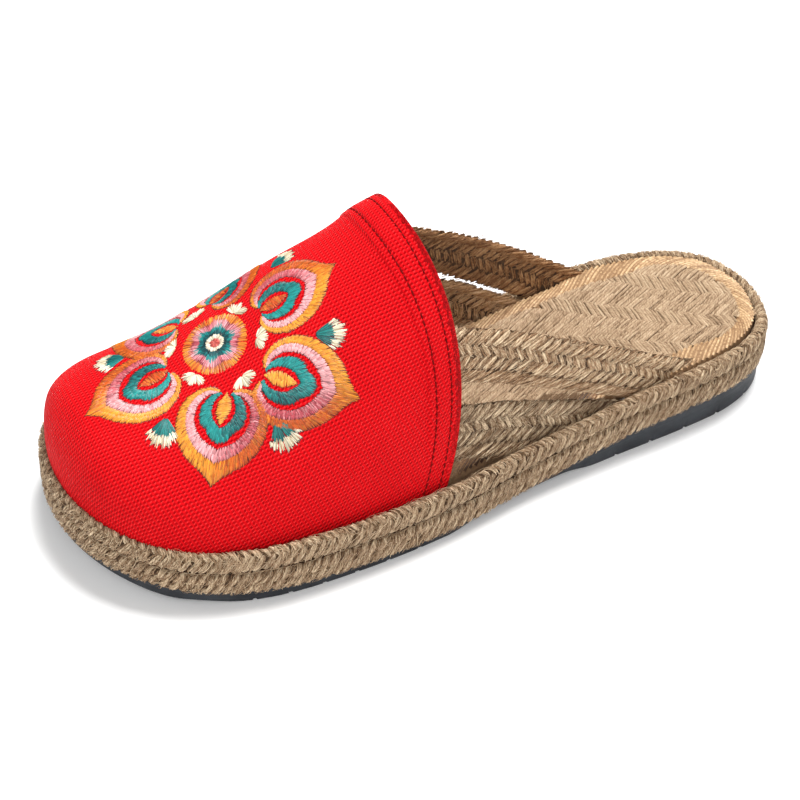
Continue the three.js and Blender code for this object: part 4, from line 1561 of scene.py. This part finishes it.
# Stitches as flat starts and ends, their tints, and their height and half width
def stitch_group(starts, ends, tints, height, width):
    count = len(starts)
    return starts, ends, tints, np.full(count, height), np.full(count, width)


# Tints between a light and a dark colour by share, with every stitch a little different
def shaded(light, dark, share, rng):
    share = np.clip(share + rng.normal(0, TINT_SPREAD, share.shape), 0, 1)[:, None]
    light, dark = np.array(colour(*light)), np.array(colour(*dark))
    tint = light + (dark - light) * share
    tint[:, :3] *= np.clip(rng.normal(*TINT_TONE, (len(share), 1)), *TINT_LIMITS)
    return tint


# Satin stitches across a band, over darker under-stitches that fringe its edges
def stitch_band(outer, inner, light, dark, share, rng):
    count = len(outer)
    across = outer - inner
    way = across / np.maximum(np.linalg.norm(across, axis=1, keepdims=True), SHORTEST_STITCH)
    skew = np.stack([-way[:, 1], way[:, 0]], -1) * rng.normal(0, STITCH_SKEW, (count, 1))
    jitter = rng.uniform(*STITCH_OVERRUN, (count, 2))
    start = inner - way * jitter[:, :1] + skew
    end = outer + way * jitter[:, 1:] - skew
    middle = start + (end - start) * rng.uniform(*STITCH_SPLIT, (count, 1))
    lap = (end - start) * STITCH_LAP
    near = stitch_group(start, middle + lap, shaded(light, dark, share, rng), *TOP_STITCH)
    far = stitch_group(middle - lap, end, shaded(light, dark, share, rng), *TOP_STITCH)
    deep = tuple(value * FRINGE["colour_share"] for value in dark)
    shade = shaded(dark, deep, np.full(count, FRINGE["depth"]), rng)
    fray = rng.uniform(*FRINGE["fray"], (count, 1)) * FRINGE["reach"]
    start = inner - way * (jitter[:, :1] + fray * FRINGE["inner_share"])
    end = outer + way * (jitter[:, 1:] + fray)
    return [near, far, stitch_group(start, end, shade, *UNDER_STITCH)]


def make_petals():
    rng = np.random.default_rng(41)
    groups = []
    for petal in PETALS:
        root, tip = polar(petal["root_turn"], petal["root"]), polar(petal["tip_turn"], petal["tip"])
        scale = np.linalg.norm(tip - root) / PETAL_LENGTH
        axis = unit(tip - root)
        beside = np.array([-axis[1], axis[0]])

        def place(run):
            return root + (run[:, :1] * axis + run[:, 1:] * beside) * scale

        for band in BANDS:
            _, length = petal_run(band["outer"], 2)
            count = int(length * scale / band["pitch"])
            outer, inner = petal_run(band["outer"], count)[0], petal_run(band["inner"], count)[0]
            side = petal["dark"] * outer[:, 1] / PETAL_HALF
            side = side + (outer[:, 0] - PETAL_MIDDLE) / PETAL_FADE
            share = smoothstep(*PETAL_SHADE, side)
            colours = (band["light"], band["dark"])
            groups += stitch_band(place(outer), place(inner), *colours, share, rng)
        run, _ = petal_run("leaf", int(LEAF_AROUND * scale / LEAF_STITCH))
        middle = len(run) // 2
        upper, lower = place(run[:middle] + LEAF_SLANT), place(run[::-1][:middle])
        share = np.full(middle, petal["leaf_dark"])
        groups += stitch_band(upper, lower, *LEAF_COLOURS, share, rng)
    return groups


def make_fans():
    rng = np.random.default_rng(43)
    groups = []
    for fan in FANS:
        root, tip = polar(fan["root_turn"], fan["root"]), polar(fan["tip_turn"], fan["tip"])
        length = np.linalg.norm(tip - root)
        angle = math.atan2(*(tip - root)[::-1])
        for layer in FAN_LAYERS:
            count = layer["count"]
            share = np.linspace(-1, 1, count) + rng.normal(0, FAN["uneven"], count)
            way = directions(angle + math.radians(FAN_SPREAD) * share)
            scallop = np.cos(share * FAN["scallops"] * math.pi) ** 2
            round_off = 1 - FAN["round"] * share ** 2 - FAN["scallop_depth"] * scallop
            near = layer["near"] * (length + rng.uniform(*FAN["near"], count))
            far = layer["far"] * length * round_off + rng.uniform(*FAN["far"], count)
            start, end = root + way * near[:, None], root + way * far[:, None]
            streak = np.clip(rng.random(count) ** 1.5 + FAN["shade"] * share, 0, 1)
            tints = shaded(layer["light"], layer["dark"], streak, rng)
            groups.append(stitch_group(start, end, tints, layer["lift"], FAN_STITCH_HALF))
            tints = shaded(*FAN_UNDER_COLOURS, rng.random(count), rng)
            start, end = start - way * FAN["under_near"], end + way * FAN["under_far"]
            groups.append(stitch_group(start, end, tints, *FAN_UNDER_STITCH))
    return groups


# Two-lobed cream patches between the petals' roots
def make_bows():
    rng = np.random.default_rng(47)
    groups = []
    share = np.linspace(-1, 1, BOW_STITCHES)
    lobes = 0.66 + 0.34 * np.abs(np.sin(share * 1.5 * math.pi + 0.5 * math.pi)) ** 0.6
    for bow in BOWS:
        root = polar(bow["turn"], bow["reach"] - BOW_ROOT)
        spread = math.radians(BOW_SPREAD) * share + rng.normal(0, 0.04, BOW_STITCHES)
        way = directions(math.radians(bow["turn"]) + spread)
        far = BOW_REACH * lobes * (1 + 0.18 * np.abs(share))
        far = (far + rng.uniform(-0.3, 0.3, BOW_STITCHES))[:, None]
        tints = shaded(*BOW_COLOURS, rng.random(BOW_STITCHES) ** 2, rng)
        start = root + way * rng.uniform(0.3, 0.8, (BOW_STITCHES, 1))
        groups.append(stitch_group(start, root + way * far, tints, *BOW_STITCH))
        tints = shaded(*BOW_UNDER_COLOURS, rng.random(BOW_STITCHES), rng)
        groups.append(stitch_group(start, root + way * (far + 0.25), tints, *BOW_UNDER_STITCH))
    return groups


# The flower in the middle, ring by ring: orange disc, pink scallops, teal star, cream ring
# and a dot
FLOWER = table(
    "inner outer lobe round light dark count lift",
    (7.4, 10.9, 0.0, True, (244, 160, 50), (204, 92, 30), 180, 0.18),
    (5.0, 9.7, 0.12, True, (168, 60, 66), (120, 30, 40), 150, 0.22),
    (4.4, 9.2, 0.12, True, (246, 176, 182), (206, 92, 106), 170, 0.3),
    (3.2, 7.4, 0.18, False, (26, 150, 146), (4, 74, 78), 150, 0.38),
    (2.4, 5.2, 0.2, False, (6, 84, 88), (2, 34, 42), 110, 0.46),
    (1.7, 3.5, 0.0, True, (250, 240, 218), (208, 190, 160), 64, 0.56),
    (0.0, 1.9, 0.0, True, (214, 104, 92), (178, 58, 54), 28, 0.5),
)
FLOWER_LOBES = 6
FLOWER_STRETCH = 1.08
FLOWER_STITCH_HALF = 0.24


def make_flower():
    rng = np.random.default_rng(53)
    groups = []
    for ring in FLOWER:
        count = ring["count"]
        turn = np.linspace(0, 2 * math.pi, count, endpoint=False)
        turn = turn + rng.normal(0, 0.012, count)
        lobe_turn = FLOWER_LOBES * (turn - math.radians(FLOWER_TURN))
        wave = 2 * np.abs(np.cos(lobe_turn / 2)) - 1 if ring["round"] else np.cos(lobe_turn)
        way = directions(turn) * [1, FLOWER_STRETCH]
        far = ring["outer"] * (1 + ring["lobe"] * wave) + rng.uniform(-0.35, 0.35, count)
        near = np.maximum(ring["inner"] + rng.uniform(-0.4, 0.3, count), 0.1)
        share = np.clip(0.5 - 0.6 * wave + rng.normal(0, 0.25, count), 0, 1)
        tints = shaded(ring["light"], ring["dark"], share, rng)
        start, end = way * near[:, None], way * far[:, None]
        groups.append(stitch_group(start, end, tints, ring["lift"], FLOWER_STITCH_HALF))
    return groups


# A stitch's arch and how deep its ends are sunk, as shares of its height; its width at
# the ends and its thickness as shares of its full width
STITCH_STATIONS = 4
STITCH_ARCH = (0.06, 0.5)
STITCH_SUNK = 0.45
STITCH_UNEVEN = 0.1
STITCH_END = 0.6
STITCH_FLATNESS = 0.8


def make_embroidery(lay):
    groups = make_petals() + make_fans() + make_bows() + make_flower()
    starts, ends, tints, heights, widths = joined(groups)
    t = np.linspace(0, 1, STITCH_STATIONS)
    flat = starts[:, None] + (ends - starts)[:, None] * t[:, None]
    arch = arch_over(t, *STITCH_ARCH) - STITCH_SUNK
    rng = np.random.default_rng(59)
    level = heights[:, None] * arch * (1 + rng.normal(0, STITCH_UNEVEN, (len(starts), 1)))
    lines, ups = lay(flat[..., 0], flat[..., 1], level)
    half = widths[:, None] * (STITCH_END + (1 - STITCH_END) * np.sin(math.pi * t))
    yarns = (lines, ups, half, half * STITCH_FLATNESS, rng.random(len(starts)))
    add_yarns("rosette_embroidery", yarns, THREAD, THREAD_ARC, tints)


# Section of the rubber sole's side: a rib along the top, then the tread edge
RUBBER_SECTION = table(
    "inset height",
    (6.0, 0.00),
    (1.1, 0.00),
    (0.6, 0.08),
    (0.45, 0.20),
    (0.5, 0.38),
    (0.5, 0.54),
    (0.15, 0.60),
    (0.0, 0.68),
    (0.0, 0.92),
    (0.3, 1.00),
    (6.0, 1.00),
)

# Notches in the tread edge, and the tread itself
RUBBER_STATIONS = 1800
NOTCH = dict(width=1.2, depth=0.9, share=0.2, slope=0.15)
NOTCH_RUNS = table(
    "start end count",
    (0.07, 0.29, 5),
    (0.60, 0.82, 6),
)
TREAD_PITCH = 5.2
TREAD_DEPTH = 1.1
TREAD_LEAN = 0.35
TREAD_INSET = 4.0
TREAD_MARGIN = 0.5
TREAD_GROOVE = (0.62, 0.8)
TREAD_RIM = 0.06
TREAD_ROWS = 600
TREAD_COLUMNS = 24


# How deep the rim is notched at a place, from 0 to 1
def notched(y):
    inside = np.zeros_like(y)
    for run in NOTCH_RUNS:
        for along in np.linspace(run["start"], run["end"], run["count"]):
            middle = SHOE_LENGTH * (0.5 - along)
            past = np.abs(y - middle) - NOTCH["width"] / 2
            inside = np.maximum(inside, smoothstep(NOTCH["slope"], -NOTCH["slope"], past))
    return inside


def make_rubber_sides():
    turn = np.arange(RUBBER_STATIONS) / RUBBER_STATIONS
    loops = []
    for row in RUBBER_SECTION:
        inset, height = SOLE_INSET + row["inset"], row["height"]
        if height < NOTCH["share"] and row["inset"] < TREAD_INSET:
            _, y, _, _ = rim_frame(turn, inset)
            inset = inset + notched(y) * NOTCH["depth"]
        x, y, _, _ = rim_frame(turn, inset)
        low, high = ground_at(y), lift_at(y) - GAP
        loops.append(np.stack([x, y, low + (high - low) * height], -1))
    piece = add_grid("rubber_sole", np.array(loops), RUBBER, columns=True)
    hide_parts("outsole")


# Underside with slanting grooves
def make_tread():
    lines = side_lines(SOLE_INSET + TREAD_INSET)
    first, last = lines["nose_y"] + TREAD_MARGIN, lines["lateral"][1].max() - TREAD_MARGIN
    y = np.linspace(first, last, TREAD_ROWS)[:, None]
    outer = np.interp(y, *reversed(lines["lateral"]))
    inner = np.interp(y, *reversed(lines["medial"]))
    share = np.linspace(0, 1, TREAD_COLUMNS)
    x = inner + (outer - inner) * share
    phase = (y + TREAD_LEAN * np.abs(x - x.mean(axis=1, keepdims=True))) / TREAD_PITCH
    groove = smoothstep(*TREAD_GROOVE, np.abs(2 * np.mod(phase, 1.0) - 1))
    rim = smoothstep(0, TREAD_RIM, share) * smoothstep(1, 1 - TREAD_RIM, share)
    z = ground_at(y) + TREAD_DEPTH * groove * rim
    points = np.stack([x, y + 0 * x, z], -1)
    add_piece("rubber_tread", points, grid_faces(TREAD_ROWS, TREAD_COLUMNS), RUBBER)


HAIRS = 420
HAIR_RADIUS = 0.08
HAIR_DEPTH = -0.2
HAIR_ROOTS = [1.4, 2.4, 5.5, 9.5]
HAIR_STATIONS = 8


# Loose fibres that stand off the jute rows
def make_hairs():
    rng = np.random.default_rng(61)
    surface, _ = rim_surface(RING_SECTION, RING_WIDTH, RING_FOOT, RING_HEIGHT, HAIR_DEPTH)
    along = rng.uniform(0, RIM_LENGTH, HAIRS)
    over = rng.choice(HAIR_ROOTS, HAIRS) + rng.normal(0, 0.5, HAIRS)
    t = np.linspace(0, 1, HAIR_STATIONS)
    reach = rng.uniform(2.5, 8.0, HAIRS)[:, None]
    sway = rng.normal(0, 1, (HAIRS, 3, 1))
    path_along = along[:, None] + reach * t * np.sign(sway[:, 0])
    path_over = over[:, None] + 0.9 * np.sin(2.4 * t + sway[:, 1]) * t
    point, normal = surface(path_along, path_over)
    rise = 0.1 + np.abs(sway[:, 2]) * 0.7 * np.sin(math.pi * t) ** 1.2 * t
    lines = point + normal * rise[..., None]
    widths = HAIR_RADIUS * (1 - 0.6 * t)[None] + np.zeros((HAIRS, 1))
    hairs = (lines, normal, widths, widths, np.full(HAIRS, 0.9))
    add_yarns("loose_fibres", hairs, JUTE, THREAD_ARC)


def make_camera():
    azimuth, elevation, roll = (math.radians(v) for v in (AZIMUTH, ELEVATION, ROLL))
    back = Vector((
        math.sin(azimuth) * math.cos(elevation),
        -math.cos(azimuth) * math.cos(elevation),
        math.sin(elevation),
    ))
    level = Vector((math.cos(azimuth), math.sin(azimuth), 0))
    upright = back.cross(level)
    right = level * math.cos(roll) + upright * math.sin(roll)
    up = upright * math.cos(roll) - level * math.sin(roll)
    target = Vector((TARGET["x"] + SHIFT, TARGET["y"], TARGET["z"]))
    place = (target + back * CAMERA_DISTANCE) * MM
    data = bpy.data.cameras.new("camera")
    data.sensor_width = SENSOR
    data.lens = FOCAL_PIXELS / PICTURE * SENSOR
    data.clip_start = 0.05
    camera = bpy.data.objects.new("camera", data)
    columns = Matrix((right, up, back)).transposed()
    camera.matrix_world = Matrix.Translation(place) @ columns.to_4x4()
    bpy.context.scene.collection.objects.link(camera)
    bpy.context.scene.camera = camera


FLOOR_HALF = 1.6

# Soft lamps round the shoe: place and size in metres, power in watts
LIGHTS = table(
    "name place size power",
    ("key", (-0.25, 0.35, 1.3), 0.6, 29.0),
    ("fill", (1.1, -0.6, 0.9), 1.2, 10.5),
    ("front", (-0.5, -1.1, 0.8), 1.0, 2.6),
)


def make_studio():
    finish = Finish("floor", Roughness=1.0, Emission_Strength=0.08)
    for socket in ("Base Color", "Emission Color"):
        finish.shader.inputs[socket].default_value = (0.97, 0.97, 0.97, 1)
    mesh = bpy.data.meshes.new("floor")
    corners = [(-1, -1), (1, -1), (1, 1), (-1, 1)]
    mesh.from_pydata([(x * FLOOR_HALF, y * FLOOR_HALF, 0) for x, y in corners], [], [(0, 1, 2, 3)])
    mesh.materials.append(finish.material)
    floor = bpy.data.objects.new("floor", mesh)
    bpy.context.scene.collection.objects.link(floor)
    world = bpy.data.worlds.new("studio")
    world.use_nodes = True
    world.node_tree.nodes["Background"].inputs["Color"].default_value = (1, 1, 1, 1)
    world.node_tree.nodes["Background"].inputs["Strength"].default_value = 0.3
    bpy.context.scene.world = world
    bpy.context.scene.view_settings.view_transform = "Standard"
    for light in LIGHTS:
        data = bpy.data.lights.new(light["name"], "AREA")
        data.size = light["size"]
        data.energy = light["power"]
        lamp = bpy.data.objects.new(light["name"], data)
        lamp.location = light["place"]
        lamp.rotation_euler = (-Vector(light["place"])).to_track_quat("-Z", "Y").to_euler()
        bpy.context.scene.collection.objects.link(lamp)


make_camera()
make_studio()
make_rubber_sides()
make_tread()
make_sides()
make_insole()
make_binding()
for strap in STRAPS:
    make_strap(strap)
OUTER_SKIN, OUTER_NORMALS, HEM_DISTANCE, CLOTH_WALK = make_vamp()
make_hem_stitches(OUTER_SKIN, OUTER_NORMALS, HEM_DISTANCE)
make_embroidery(cloth_map(CLOTH_WALK))
make_hairs()
